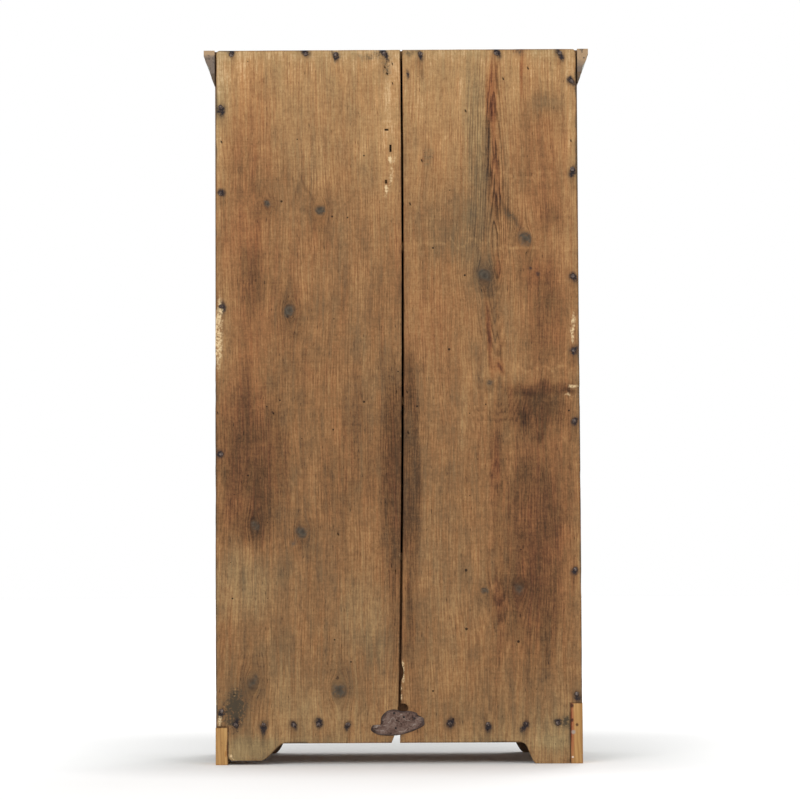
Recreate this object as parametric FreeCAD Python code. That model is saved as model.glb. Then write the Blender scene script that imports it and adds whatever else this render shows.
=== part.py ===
import FreeCAD, Part
import math
import os

from FreeCAD import Placement, Rotation, Vector

# A country cupboard of pine boards on bracket feet, with two panelled doors.
# Sizes are in millimetres.  The front faces -Y and up is +Z.  The origin is on the
# floor under the middle of the whole cupboard.  Left and right are seen from the front.

# Case
case_width = 867.0
case_height = 1700.0
case_depth = 440.0
side_thickness = 28.0
shelf_thickness = 20.0
back_thickness = 20.0
frame_thickness = 22.0
housing_depth = 8.0
bottom_board_height = 84.0
shelf_setback = 20.0
shelf_undersides = {"shelf_lower": 480.0, "shelf_middle": 850.0, "shelf_upper": 1220.0}

# Clearances between mating pieces
fit = 0.15
end_room = 1.0
face_room = 0.3

# Face frame and joinery
stile_width = 75.0
top_rail_height = 132.0
tenon_thickness = 7.0
tenon_length = 45.0
tenon_shoulder = 12.0
peg_radius = 4.0
peg_sides = 8
peg_inset = 20.0
peg_margin = 24.0
one_peg_height = 80.0

# Bracket feet: width at the floor, run of the curve, lift off the floor, fullness of the ogee
arch_height = 50.0
back_foot_left = {"width": 107.0, "run": 38.0, "lift": 0.0, "fullness": 0.5}
back_foot_right = {"width": 108.0, "run": 55.0, "lift": 10.0, "fullness": 0.3}
front_foot = {"width": 120.0, "run": 45.0, "lift": 0.0, "fullness": 0.45}
side_foot_front = {"width": 88.0, "run": 45.0, "lift": 0.0, "fullness": 0.45}
side_foot_rear = {"width": 110.0, "run": 45.0, "lift": 0.0, "fullness": 0.45}

# Rear feet pieced out with new wood
foot_piece_depth = 60.0
foot_piece_heights = {-1: 142.0, 1: 88.0}

# Back boards: the open joint between them wanders, and their outer edges are worn
gap_width = 5.0
gap_top_x = -12.6
gap_middle_x = -12.0
gap_bottom_x = 2.0
edge_inset_top = 3.5
edge_inset_middle = 0.5
edge_inset_bottom = 1.0
toe_corner_radius = 11.0
vermin_hole_radius = 12.0
vermin_hole_offset = -11.0
vermin_hole_rise = 81.0
edge_bite_rise = 166.0
edge_bite_height = 40.0
edge_bite_depth = 6.0
corner_chip_width = 15.0
corner_chip_height = 19.0
worm_slot_depth = 6.0

# Batten inside the back, over the lower end of the open joint
joint_batten_width = 46.0
joint_batten_thickness = 7.0

# Worm slots of the right board: distance from the joint, drop from the top, width, height
worm_slots = ((35.5, 192.5, 10.0, 4.0), (26.5, 237.0, 4.0, 17.0), (38.5, 317.0, 4.0, 9.0))

# Cornice of two mouldings, mitred at the front corners
crown_projection = 26.0
crown_height = 55.0
crown_fillet = 14.0
crown_step = 2.0
crown_foot = 11.0
bed_height = 27.0
bed_projection = 8.0
bed_fillet = 4.0
bed_foot = 1.5
bed_fullness = 2.9

# Nails
nail_head_radius = 5.6
nail_head_rise = 2.5
nail_head_sides = 6
nail_crown_radius = 2.2
nail_shank_radius = 2.4
nail_tip_radius = 1.1
back_nail_length = 45.0
cut_nail_length = 45.0
cut_nail_head = (6.0, 3.6, 1.2)
case_nail_inset = 80.0
crown_nail_shift = 27.5
crown_nail_offset = 120.0
crown_nail_inset = 40.0

# Nail places on the back boards, 1 the right board and -1 the left.  Along the top and
# the bottom: in from the board's outer edge, or out from the open joint.  Up the sides:
# down from the top, with the lowest nail above the foot piece.
top_nail_insets = {1: (39.5, 217.5, 290.5), -1: (193.5, 41.5)}
top_nail_joint_offsets = (40.6, -46.4)
bottom_nail_insets = {1: (47.5, 113.5, 183.5, 242.5, 312.5), -1: (313.5, 223.5, 135.5, 58.5)}
side_nail_drops = {1: (136.0, 344.0, 614.0, 966.0), -1: (78.0, 289.0, 546.0, 722.0, 891.0, 1242.0)}
foot_nail_rise = {1: 39.0, -1: 22.0}

# Sheet-iron patch over the lower end of the open joint: its corners and tacks, across from
# the joint and up from the arch
patch_thickness = 1.2
patch_outline = ((65, 33), (44, 42), (30, 71), (11, 78), (-30, 72), (-59, 47), (-38, 29), (-8, 18), (48, 17))
tack_places = ((-13, 61), (6, 35), (-38, 58), (10, 70))
tack_radius = 2.6
tack_rise = 1.0
tack_length = 12.0
tack_shank_radius = 1.0

# Doors
door_thickness = 21.0
door_gap = 3.0
door_stile_width = 68.0
door_bottom_rail = 100.0
door_middle_rail = 100.0
door_top_rail = 80.0
lower_panel_height = 558.0
groove_depth = 9.0
groove_width = 7.0
panel_room = 1.5
panel_bevel = 38.0
panel_quirk = 1.2
panel_face_setback = 2.0
panel_edge_room = 1.0

# Butt hinges
hinge_height = 76.0
hinge_inset = 150.0
knuckle_radius = 4.5
pin_radius = 2.5
pin_room = 0.05
pin_proud = 5.0
pin_button = 2.0
pin_button_radius = 4.0
leaf_thickness = 2.5
leaf_room = 0.5
leaf_depth = 18.5
screw_head_radius = 4.0
screw_head_depth = 2.0
screw_shank_radius = 1.9
screw_length = 17.0
screw_slot = 0.9
leaf_screw_spacing = 46.0
leaf_knuckles = 3

# Box lock on the right door, with its key, and its keeper on the left door
key_height = 922.0
lock_width = 60.0
lock_depth = 13.0
lock_below_key = 20.0
lock_above_key = 34.0
lock_edge_setback = 1.0
lock_wall = 1.5
lock_flange = 9.0
bolt_thickness = 5.0
bolt_height = 14.0
bolt_travel = 12.0
bolt_above_key = 6.0
bolt_length = 56.0
bolt_room = 0.3
talon_lead = 3.5
talon_width = 10.5
talon_height = 4.5
key_shank_radius = 3.0
key_tip_radius = 2.5
key_bow_radius = 7.5
key_bow_thickness = 2.0
key_projection = 25.0
key_collar_radius = 4.4
key_collar_length = 2.0
bit_radius = 9.5
bit_thickness = 2.5
bit_length = 7.0
ward_depth = 3.0
ward_width = 1.4
ward_inset = 2.3
keyhole_room = 0.6
plate_width = 18.0
plate_height = 36.0
plate_drop = 2.25
plate_thickness = 1.2
keeper_room = 5.5
keeper_wall = 2.5
keeper_flange = 9.0
lock_screw_length = 14.0

# Small iron bolt that holds the left door
slide_bolt_radius = 4.0
slide_bolt_length = 78.0
slide_bolt_travel = 14.0
slide_bolt_top_room = 9.0
slide_plate_width = 32.0
slide_plate_thickness = 1.5
slide_plate_top_room = 12.0
slide_plate_height = 83.0
guide_height = 10.0
guide_wall = 3.0
guide_inset = 3.0
guide_room = 41.0
slide_axis_rise = 5.5
slide_knob_radius = 3.0
slide_knob_length = 8.0

# Door stops
stop_depth = 14.0
stop_lap = 10.0
stop_height = 32.0
stop_length = 600.0
block_height = 14.0
block_length = 40.0
block_offset = 150.0
stop_hole_room = 0.6

# Planes and spans of the case, worked out from the sizes above
half_width = case_width / 2
overall_depth = crown_projection + case_depth + nail_head_rise
front_plane = crown_projection - overall_depth / 2
back_plane = front_plane + case_depth
frame_back = front_plane + frame_thickness
back_board_front = back_plane - back_thickness
side_inside = half_width - side_thickness
side_middle = half_width - side_thickness / 2
side_top = case_height - shelf_thickness
opening_half = half_width - stile_width
opening_bottom = bottom_board_height + shelf_thickness
opening_top = case_height - top_rail_height
shelf_front = frame_back + shelf_setback
crown_bottom = case_height - crown_height
bed_bottom = crown_bottom - bed_height
past = 1.0

# Planes of the doors
meeting_edge = door_gap / 2
hinge_edge = opening_half - door_gap
door_bottom = opening_bottom + door_gap
door_top = opening_top - door_gap
door_back = front_plane + door_thickness
groove_front = front_plane + (door_thickness - groove_width) / 2
meeting_inside = meeting_edge + door_stile_width
hinge_inside = hinge_edge - door_stile_width
rail_spans = {
    "bottom_rail": (door_bottom, door_bottom + door_bottom_rail),
    "middle_rail": (door_bottom + door_bottom_rail + lower_panel_height,
                    door_bottom + door_bottom_rail + lower_panel_height + door_middle_rail),
    "top_rail": (door_top - door_top_rail, door_top),
}
panel_spans = {
    "lower_panel": (rail_spans["bottom_rail"][1], rail_spans["middle_rail"][0]),
    "upper_panel": (rail_spans["middle_rail"][1], rail_spans["top_rail"][0]),
}
hinge_x = opening_half - door_gap / 2
hinge_y = front_plane - pin_proud
hinge_heights = (door_bottom + hinge_inset, door_top - hinge_inset)

# The lock's key stands in the middle of the right door's meeting stile
key_x = (meeting_edge + meeting_inside) / 2
lock_spans = (meeting_edge + lock_edge_setback, meeting_edge + lock_edge_setback + lock_width)
lock_back = door_back + lock_depth
bolt_y = (door_back + lock_depth / 2 - bolt_thickness / 2, door_back + lock_depth / 2 + bolt_thickness / 2)
bolt_z = (key_height + bolt_above_key, key_height + bolt_above_key + bolt_height)
bolt_tip = lock_spans[0] + lock_wall / 2
talon_offset = bolt_travel - talon_lead
keeper_width = bolt_travel + keeper_room + keeper_wall
bit_y = (door_back + lock_depth / 2 - bit_length / 2, door_back + lock_depth / 2 + bit_length / 2)

# The slide bolt stands behind the left door's meeting stile
slide_x = -key_x
slide_y = door_back + slide_plate_thickness + slide_axis_rise
slide_top = door_top - slide_bolt_top_room
plate_top = door_top - slide_plate_top_room
upper_guide_top = plate_top - guide_inset
guide_spacing = slide_bolt_travel + guide_room
lower_guide_top = upper_guide_top - guide_spacing


def block(x_span, y_span, z_span):
    """A squared piece between two planes on each axis."""
    low = Vector(x_span[0], y_span[0], z_span[0])
    return Part.makeBox(x_span[1] - x_span[0], y_span[1] - y_span[0], z_span[1] - z_span[0], low)


def beside(sign, inner, outer):
    """The x span between two distances from the middle, on the side that sign names."""
    return tuple(sorted((sign * inner, sign * outer)))


def about(middle, size):
    """The span of a size set evenly about a middle."""
    return (middle - size / 2, middle + size / 2)


def polygon(radius, sides, height):
    """A regular outline about the Z axis at a height."""
    turn = 2 * math.pi / sides
    angles = [turn * n for n in range(sides + 1)]
    return Part.makePolygon([Vector(radius * math.cos(a), radius * math.sin(a), height) for a in angles])


def tapered_bar(base_radius, tip_radius, length, sides):
    """A faceted bar that runs down the Z axis from the origin."""
    return Part.makeLoft([polygon(base_radius, sides, 0), polygon(tip_radius, sides, -length)], True, True)


def aimed(shape, point, direction):
    """Set a piece made down the Z axis with its head at a point and its tip along a direction."""
    shape.Placement = Placement(point, Rotation(Vector(0, 0, -1), direction))
    return shape


def prism(points, to_point, through):
    """A flat outline of straight sides, carried through a thickness."""
    corners = [to_point(u, v) for u, v in points]
    return Part.Face(Part.makePolygon(corners + corners[:1])).extrude(through)


def curve(poles):
    """A smooth edge that leaves and meets its ends along its first and last poles."""
    edge = Part.BezierCurve()
    edge.setPoles(poles)
    return edge.toShape()


def face_of(edges):
    """The flat face inside a ring of edges."""
    return Part.Face(Part.Wire(Part.sortEdges(edges)[0]))


# Nails and screws


def rose_nail():
    """A wrought nail: a hammered, faceted head over a tapered square shank."""
    head = Part.makeLoft([polygon(nail_head_radius, nail_head_sides, 0),
                          polygon(nail_crown_radius, nail_head_sides, nail_head_rise)], True, True)
    shank = tapered_bar(nail_shank_radius, nail_tip_radius, back_nail_length, 4)
    return head.fuse(shank).removeSplitter()


def cut_nail():
    """A cut nail with a flat oblong head, driven flush."""
    long, wide, deep = cut_nail_head
    head = block(about(0, long), about(0, wide), (-deep, 0))
    shank = tapered_bar(nail_shank_radius, nail_tip_radius, cut_nail_length, 4)
    return head.fuse(shank).removeSplitter()


def nail_hole(length):
    """The square hole that a nail's shank stands in."""
    return tapered_bar(nail_shank_radius + fit, nail_tip_radius + fit, length + end_room, 4)


def cut_nail_hole():
    """The hole for a cut nail, with the sinking for its head."""
    long, wide, deep = cut_nail_head
    sinking = block(about(0, long + 2 * fit), about(0, wide + 2 * fit), (-deep, past))
    return sinking.fuse(nail_hole(cut_nail_length))


def screw(length):
    """A countersunk wood screw with a slotted head."""
    head = Part.makeCone(screw_shank_radius, screw_head_radius, screw_head_depth,
                         Vector(0, 0, -screw_head_depth))
    shank = Part.makeCylinder(screw_shank_radius, length - screw_head_depth, Vector(0, 0, -length))
    slot = block(about(0, 2 * screw_head_radius), about(0, screw_slot), (-screw_slot, past))
    return head.fuse(shank).removeSplitter().cut(slot)


def screw_hole(length):
    """The countersunk hole that a screw passes through."""
    sink = Part.makeCone(screw_shank_radius + fit, screw_head_radius + fit, screw_head_depth,
                         Vector(0, 0, -screw_head_depth))
    bore = Part.makeCylinder(screw_shank_radius + fit, length + end_room, Vector(0, 0, -length - end_room))
    return sink.fuse(bore)


def back_nail_places():
    """The head of every nail in the back boards."""
    top_z = side_top + shelf_thickness / 2
    bottom_z = bottom_board_height + shelf_thickness / 2
    rows = [(gap_top_x + offset, top_z) for offset in top_nail_joint_offsets]
    for sign in (-1, 1):
        rows += [(sign * (half_width - inset), top_z) for inset in top_nail_insets[sign]]
        rows += [(sign * (half_width - inset), bottom_z) for inset in bottom_nail_insets[sign]]
        rows += [(sign * side_middle, case_height - drop) for drop in side_nail_drops[sign]]
        rows.append((sign * side_middle, foot_piece_heights[sign] + foot_nail_rise[sign]))
    return [Vector(x, back_plane, z) for x, z in rows]


def back_nails():
    """All the wrought nails of the back."""
    return [aimed(rose_nail(), point, Vector(0, -1, 0)) for point in back_nail_places()]


def back_nail_holes():
    """The holes of the back nails, through the boards and into what they hold."""
    return [aimed(nail_hole(back_nail_length), point, Vector(0, -1, 0)) for point in back_nail_places()]


def case_nail_places():
    """The head and direction of every cut nail in the case."""
    places = []
    rows = [bottom_board_height] + list(shelf_undersides.values())
    for sign in (-1, 1):
        for z in rows:
            for y in (shelf_front + case_nail_inset, back_board_front - case_nail_inset):
                places.append((Vector(sign * half_width, y, z + shelf_thickness / 2), Vector(-sign, 0, 0)))
        for z in (rows[0] + case_nail_inset, rows[1], rows[2], rows[3], bed_bottom - case_nail_inset):
            places.append((Vector(sign * side_middle, front_plane, z), Vector(0, 1, 0)))
        crown_x = sign * (half_width + crown_projection)
        crown_y = front_plane - crown_projection
        crown_z = case_height - crown_fillet / 2
        for y in (frame_back + case_nail_inset, back_board_front - case_nail_inset):
            places.append((Vector(sign * side_middle, y, case_height), Vector(0, 0, -1)))
            places.append((Vector(crown_x, y + crown_nail_shift, crown_z), Vector(-sign, 0, 0)))
        for x in (crown_nail_offset, opening_half - crown_nail_inset):
            places.append((Vector(sign * x, crown_y, crown_z), Vector(0, 1, 0)))
    return places


def case_nails():
    """All the cut nails of the case."""
    return [aimed(cut_nail(), point, direction) for point, direction in case_nail_places()]


def case_nail_holes():
    """The holes of the cut nails."""
    return [aimed(cut_nail_hole(), point, direction) for point, direction in case_nail_places()]


# Bracket feet


def foot_curve(toe, inward, foot, to_point):
    """The ogee that rises from a foot's toe to the top of the arch."""
    run = inward * foot["run"]
    lean = run * foot["fullness"]
    low = foot["lift"]
    poles = [(toe, low), (toe + lean, low), (toe + run - lean, arch_height), (toe + run, arch_height)]
    return curve([to_point(u, z) for u, z in poles])


def arch_cut(low_end, high_end, low_foot, high_foot, to_point, through):
    """The space between two feet of one board, which stands between the two ends given."""
    low_toe = low_end + low_foot["width"]
    high_toe = high_end - high_foot["width"]
    corners = [(low_toe + low_foot["run"], arch_height), (high_toe - high_foot["run"], arch_height),
               (high_toe, high_foot["lift"]), (high_toe, -past),
               (low_toe, -past), (low_toe, low_foot["lift"])]
    ends = [to_point(u, z) for u, z in corners]
    straight = [Part.makeLine(ends[0], ends[1])]
    straight += [Part.makeLine(ends[n], ends[n + 1]) for n in (2, 3, 4)]
    curves = [foot_curve(low_toe, 1, low_foot, to_point), foot_curve(high_toe, -1, high_foot, to_point)]
    return face_of(straight + curves).extrude(through)


# Case


def side_board(sign, holes):
    """A side of the case, with housings for the shelves and a bracket foot at each end."""
    board = block(beside(sign, side_inside, half_width), (frame_back, back_board_front), (0, side_top))
    low_x = beside(sign, side_inside, half_width)[0] - past
    arch = arch_cut(frame_back, back_board_front, side_foot_front, side_foot_rear,
                    lambda u, z: Vector(low_x, u, z), Vector(side_thickness + 2 * past, 0, 0))
    housing_x = beside(sign, side_inside - past, side_inside + housing_depth)
    housings = [block(housing_x, (frame_back, back_board_front), board_span(bottom_board_height))]
    for underside in shelf_undersides.values():
        housings.append(block(housing_x, (shelf_front - fit, back_board_front), board_span(underside)))
    lost_foot = block(beside(sign, side_inside - past, half_width + past),
                      (back_board_front - foot_piece_depth, back_plane), (-past, foot_piece_heights[sign]))
    return board.cut(housings + [arch, lost_foot] + holes)


def board_span(underside):
    """The height of the housing that takes a board at this height."""
    return (underside, underside + shelf_thickness + fit)


def rear_foot(sign):
    """New wood let into a rotted rear corner, flush with the back boards."""
    y_span = (back_board_front - foot_piece_depth + fit, back_plane)
    piece = block(beside(sign, side_inside, half_width), y_span, (0, foot_piece_heights[sign] - fit))
    housing = block(beside(sign, side_inside - past, side_inside + housing_depth),
                    (frame_back, back_board_front + fit), board_span(bottom_board_height))
    return piece.cut(housing)


def shelf(underside, front, holes):
    """A board whose ends stand in the housings of the sides."""
    reach = side_inside + housing_depth - face_room
    board = block((-reach, reach), (front, back_board_front), (underside, underside + shelf_thickness))
    return board.cut(holes)


def top_board(holes):
    """The top, laid over both sides behind the face frame."""
    board = block((-half_width, half_width), (frame_back, back_board_front), (side_top, case_height))
    return board.cut(holes)


def back_outline(outer, inner):
    """A back board between two bowed edges, each given as x at the floor, the middle and the top."""
    heights = (0, case_height / 2, case_height)
    sides = []
    for places in (outer, inner):
        points = [Vector(x, back_board_front, z) for x, z in zip(places, heights)]
        sides.append(Part.Arc(*points).toShape())
    for n in (0, 2):
        start = Vector(outer[n], back_board_front, heights[n])
        sides.append(Part.makeLine(start, Vector(inner[n], back_board_front, heights[n])))
    return face_of(sides).extrude(Vector(0, back_thickness, 0))


def back_board(sign, holes):
    """One of the two wide boards of the back, notched round the foot pieces and worn at the joint."""
    outer = [sign * (half_width - inset) for inset in (edge_inset_bottom, edge_inset_middle, edge_inset_top)]
    inner = [x + sign * gap_width / 2 for x in (gap_bottom_x, gap_middle_x, gap_top_x)]
    board = back_outline(outer, inner)
    through = (back_board_front - past, back_plane + past)
    arch = arch_cut(-half_width, half_width, back_foot_left, back_foot_right,
                    lambda u, z: Vector(u, through[0], z), Vector(0, through[1] - through[0], 0))
    foot_notch = block(beside(sign, side_inside - face_room, half_width + past), through,
                       (-past, foot_piece_heights[sign] + face_room))
    middle = Vector(gap_bottom_x + vermin_hole_offset, through[0], arch_height + vermin_hole_rise)
    vermin_hole = Part.makeCylinder(vermin_hole_radius, through[1] - through[0], middle, Vector(0, 1, 0))
    wear = right_board_wear(through) if sign > 0 else left_board_wear(through)
    return board.cut([arch, foot_notch, vermin_hole] + wear + holes)


def joint_batten():
    """A thin batten inside the back, between the bottom board and the lower shelf."""
    x_span = about(gap_bottom_x + vermin_hole_offset / 2, joint_batten_width)
    y_span = (back_board_front - joint_batten_thickness, back_board_front)
    return block(x_span, y_span, (opening_bottom, shelf_undersides["shelf_lower"] - fit))


def right_board_wear(through):
    """The worn toe of the right board, and the chip out of its inner bottom corner."""
    toe = half_width - back_foot_right["width"]
    lift = back_foot_right["lift"]
    corner = side_inside - face_room
    lost_toe = block((toe, corner + past), through, (-past, lift))
    middle = Vector(corner - toe_corner_radius, through[0], lift + toe_corner_radius)
    square = block((middle.x, corner + past), through, (lift - past, middle.z))
    rounding = Part.makeCylinder(toe_corner_radius, through[1] - through[0], middle, Vector(0, 1, 0))
    edge = gap_bottom_x + gap_width / 2
    chip = prism([(edge - gap_width, arch_height - past), (edge + corner_chip_width, arch_height - past),
                  (edge + corner_chip_width / 2, arch_height + corner_chip_height),
                  (edge - gap_width, arch_height + corner_chip_height)],
                 lambda u, z: Vector(u, through[0], z), Vector(0, through[1] - through[0], 0))
    slots = [block(about(gap_top_x + reach, wide), (back_plane - worm_slot_depth, back_plane + past),
                   about(case_height - drop, tall)) for reach, drop, wide, tall in worm_slots]
    return [lost_toe, square.cut(rounding), chip] + slots


def left_board_wear(through):
    """The long shallow bite out of the left board's inner edge."""
    radius = (edge_bite_height ** 2 / 4 + edge_bite_depth ** 2) / (2 * edge_bite_depth)
    centre_x = gap_bottom_x - gap_width / 2 - edge_bite_depth + radius
    middle = Vector(centre_x, through[0], arch_height + edge_bite_rise)
    return [Part.makeCylinder(radius, through[1] - through[0], middle, Vector(0, 1, 0))]


def tenon(x_span, z_span, middle_y):
    """A tenon on the end of a rail."""
    return block(x_span, about(middle_y, tenon_thickness - 2 * fit),
                 (z_span[0] + tenon_shoulder + fit, z_span[1] - tenon_shoulder - fit))


def mortise(x_span, z_span, middle_y):
    """The mortise that takes such a tenon."""
    return block(x_span, about(middle_y, tenon_thickness),
                 (z_span[0] + tenon_shoulder, z_span[1] - tenon_shoulder))


def peg(point, length):
    """A riven peg, driven through a mortise and its tenon."""
    return aimed(tapered_bar(peg_radius, peg_radius, length, peg_sides), point, Vector(0, 1, 0))


def peg_hole(point, length):
    """The hole for a peg, open at both faces."""
    start = Vector(point.x, point.y - past, point.z)
    bar = tapered_bar(peg_radius + fit, peg_radius + fit, length + 2 * past, peg_sides)
    return aimed(bar, start, Vector(0, 1, 0))


def peg_pair(x, z_span):
    """The two pegs that hold one tenon."""
    return [Vector(x, front_plane, z_span[0] + peg_margin), Vector(x, front_plane, z_span[1] - peg_margin)]


def frame_rail_spans():
    """The heights of the two rails of the face frame."""
    return [(arch_height - tenon_shoulder, opening_bottom), (opening_top, case_height)]


def frame_peg_places():
    """The pegs of the face frame."""
    places = []
    for sign in (-1, 1):
        for span in frame_rail_spans():
            middle = (span[0] + span[1]) / 2
            x = sign * (opening_half + peg_inset)
            if span[1] - span[0] > one_peg_height:
                places += peg_pair(x, span)
            else:
                places.append(Vector(x, front_plane, middle))
    return places


def front_stile(sign, holes):
    """An upright of the face frame, from the floor to the top."""
    stile = block(beside(sign, opening_half, half_width), (front_plane, frame_back), (0, case_height))
    middle_y = front_plane + frame_thickness / 2
    slot_x = beside(sign, opening_half - past, opening_half + tenon_length + end_room)
    slots = [mortise(slot_x, span, middle_y) for span in frame_rail_spans()]
    pegs = [peg_hole(point, frame_thickness) for point in frame_peg_places()]
    sinkings = [leaf_sinking(sign, 1, z) for z in hinge_heights]
    screws = [leaf_screw_hole(*place) for place in leaf_screw_places(sign, 1)]
    return stile.cut(slots + pegs + sinkings + screws + holes)


def frame_rail(span, lowest, holes):
    """A rail of the face frame with a tenon at each end."""
    rail = block((-opening_half, opening_half), (front_plane, frame_back), (lowest, span[1]))
    middle_y = front_plane + frame_thickness / 2
    for sign in (-1, 1):
        tenon_x = beside(sign, opening_half - past, opening_half + tenon_length)
        rail = rail.fuse(tenon(tenon_x, span, middle_y))
    pegs = [peg_hole(point, frame_thickness) for point in frame_peg_places()]
    return rail.removeSplitter().cut(pegs + holes)


def front_skirt(holes):
    """The bottom rail, cut to the curve of the bracket feet."""
    rail = frame_rail(frame_rail_spans()[0], 0, holes)
    arch = arch_cut(-half_width, half_width, front_foot, front_foot,
                    lambda u, z: Vector(u, front_plane - past, z), Vector(0, frame_thickness + 2 * past, 0))
    return rail.cut(arch)


# Cornice


def crown_face(to_point):
    """The section of the crown: a fillet over a long ogee."""
    neck = crown_projection - crown_step
    fillet_z = case_height - crown_fillet
    swell = (fillet_z - crown_bottom) / 2
    corners = [(crown_foot, crown_bottom), (0, crown_bottom), (0, case_height),
               (crown_projection, case_height), (crown_projection, fillet_z), (neck, fillet_z)]
    points = [to_point(u, z) for u, z in corners]
    edges = [Part.makeLine(a, b) for a, b in zip(points, points[1:])]
    poles = [(neck, fillet_z), (neck, fillet_z - swell),
             (crown_foot, crown_bottom + swell), (crown_foot, crown_bottom)]
    return face_of(edges + [curve([to_point(u, z) for u, z in poles])])


def bed_face(to_point):
    """The section of the bed mould: a small fillet over a quarter round."""
    fillet_z = crown_bottom - bed_fillet
    corners = [(bed_foot, bed_bottom), (0, bed_bottom), (0, crown_bottom), (bed_projection, crown_bottom),
               (bed_projection, fillet_z)]
    points = [to_point(u, z) for u, z in corners]
    edges = [Part.makeLine(a, b) for a, b in zip(points, points[1:])]
    swell = (fillet_z - bed_bottom) / 2
    poles = [(bed_projection, fillet_z), (bed_projection, fillet_z - swell),
             (bed_foot + bed_fullness, bed_bottom + swell), (bed_foot, bed_bottom)]
    return face_of(edges + [curve([to_point(u, z) for u, z in poles])])


def mitred(run, plan):
    """A run of moulding trimmed to its outline seen from above."""
    low = bed_bottom - past
    trim = prism(plan, lambda x, y: Vector(x, y, low), Vector(0, 0, case_height + past - low))
    return run.common(trim)


def front_moulding(face, holes):
    """The length across the front, mitred at both ends."""
    reach = half_width + crown_projection
    outer_y = front_plane - crown_projection
    run = face(lambda u, z: Vector(-reach, front_plane - u, z)).extrude(Vector(2 * reach, 0, 0))
    plan = [(-half_width, front_plane), (half_width, front_plane), (reach, outer_y), (-reach, outer_y)]
    return mitred(run, plan).cut(holes)


def side_moulding(sign, face, holes):
    """The return along one side, mitred in front and sawn square at the back."""
    reach = half_width + crown_projection
    outer_y = front_plane - crown_projection
    end = face(lambda u, z: Vector(sign * (half_width + u), outer_y, z))
    run = end.extrude(Vector(0, back_plane - outer_y, 0))
    plan = [(sign * half_width, front_plane), (sign * reach, outer_y), (sign * reach, back_plane),
            (sign * half_width, back_plane)]
    return mitred(run, plan).cut(holes)


# Patch


def patch_point(across, up):
    """A point of the patch on the face of the boards, from the joint's lower end."""
    return Vector(gap_bottom_x + across, back_plane, arch_height + up)


def patch_plate():
    """Sheet iron cut with shears and tacked over the joint."""
    plate = prism(patch_outline, patch_point, Vector(0, patch_thickness, 0))
    return plate.cut(tack_holes())


def tack_holes():
    """The holes that the tacks make in the patch and the boards."""
    return [aimed(tack_hole(), patch_point(*place), Vector(0, -1, 0)) for place in tack_places]


def tack_hole():
    """The hole of one tack."""
    return Part.makeCylinder(tack_shank_radius + fit, tack_length + patch_thickness + past,
                             Vector(0, 0, -tack_length))


def patch_tack():
    """A tack with a low round head."""
    head = Part.makeCone(tack_radius, tack_radius / 2, tack_rise, Vector(0, 0, patch_thickness))
    shank = Part.makeCylinder(tack_shank_radius, tack_length, Vector(0, 0, patch_thickness - tack_length))
    return head.fuse(shank).removeSplitter()


# Doors


def door_peg_places(sign):
    """The pegs of one door, two through each tenon."""
    places = []
    for span in rail_spans.values():
        for x in (meeting_inside - peg_inset, hinge_inside + peg_inset):
            places += peg_pair(sign * x, span)
    return places


def panel_groove(x_span, z_span):
    """A groove for a panel's edge, along the face of a stile or rail."""
    return block(x_span, (groove_front, groove_front + groove_width), z_span)


def door_stile(sign, inner, outer, is_inside, holes):
    """An upright of a door; is_inside names the edge that takes the rails."""
    stile = block(beside(sign, inner, outer), (front_plane, door_back), (door_bottom, door_top))
    toward = 1 if is_inside == outer else -1
    middle_y = front_plane + door_thickness / 2
    cuts = []
    for span in rail_spans.values():
        deep = is_inside - toward * (tenon_length + end_room)
        cuts.append(mortise(beside(sign, *sorted((deep, is_inside + toward * past))), span, middle_y))
    for span in panel_spans.values():
        deep = is_inside - toward * groove_depth
        long_span = (span[0] - groove_depth, span[1] + groove_depth)
        cuts.append(panel_groove(beside(sign, *sorted((deep, is_inside + toward * past))), long_span))
    pegs = [peg_hole(point, door_thickness) for point in door_peg_places(sign)]
    return stile.cut(cuts + pegs + holes)


def door_rail(sign, name, holes):
    """A rail of a door, with its two tenons and the grooves for the panels."""
    span = rail_spans[name]
    middle_y = front_plane + door_thickness / 2
    rail = block(beside(sign, meeting_inside, hinge_inside), (front_plane, door_back), span)
    tenons = [tenon(beside(sign, meeting_inside - tenon_length, meeting_inside + past), span, middle_y),
              tenon(beside(sign, hinge_inside - past, hinge_inside + tenon_length), span, middle_y)]
    rail = rail.fuse(tenons).removeSplitter()
    grooves = []
    x_span = beside(sign, meeting_inside - past, hinge_inside + past)
    for panel in panel_spans.values():
        if panel[1] == span[0]:
            grooves.append(panel_groove(x_span, (span[0] - past, span[0] + groove_depth)))
        if panel[0] == span[1]:
            grooves.append(panel_groove(x_span, (span[1] - groove_depth, span[1] + past)))
    pegs = [peg_hole(point, door_thickness) for point in door_peg_places(sign)]
    return rail.cut(grooves + pegs + holes)


def rectangle(x_span, z_span, y):
    """An upright oblong outline."""
    corners = [Vector(x_span[0], y, z_span[0]), Vector(x_span[1], y, z_span[0]),
               Vector(x_span[1], y, z_span[1]), Vector(x_span[0], y, z_span[1])]
    return Part.makePolygon(corners + corners[:1])


def grown(span, amount):
    """A span made larger at both ends."""
    return (span[0] - amount, span[1] + amount)


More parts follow.
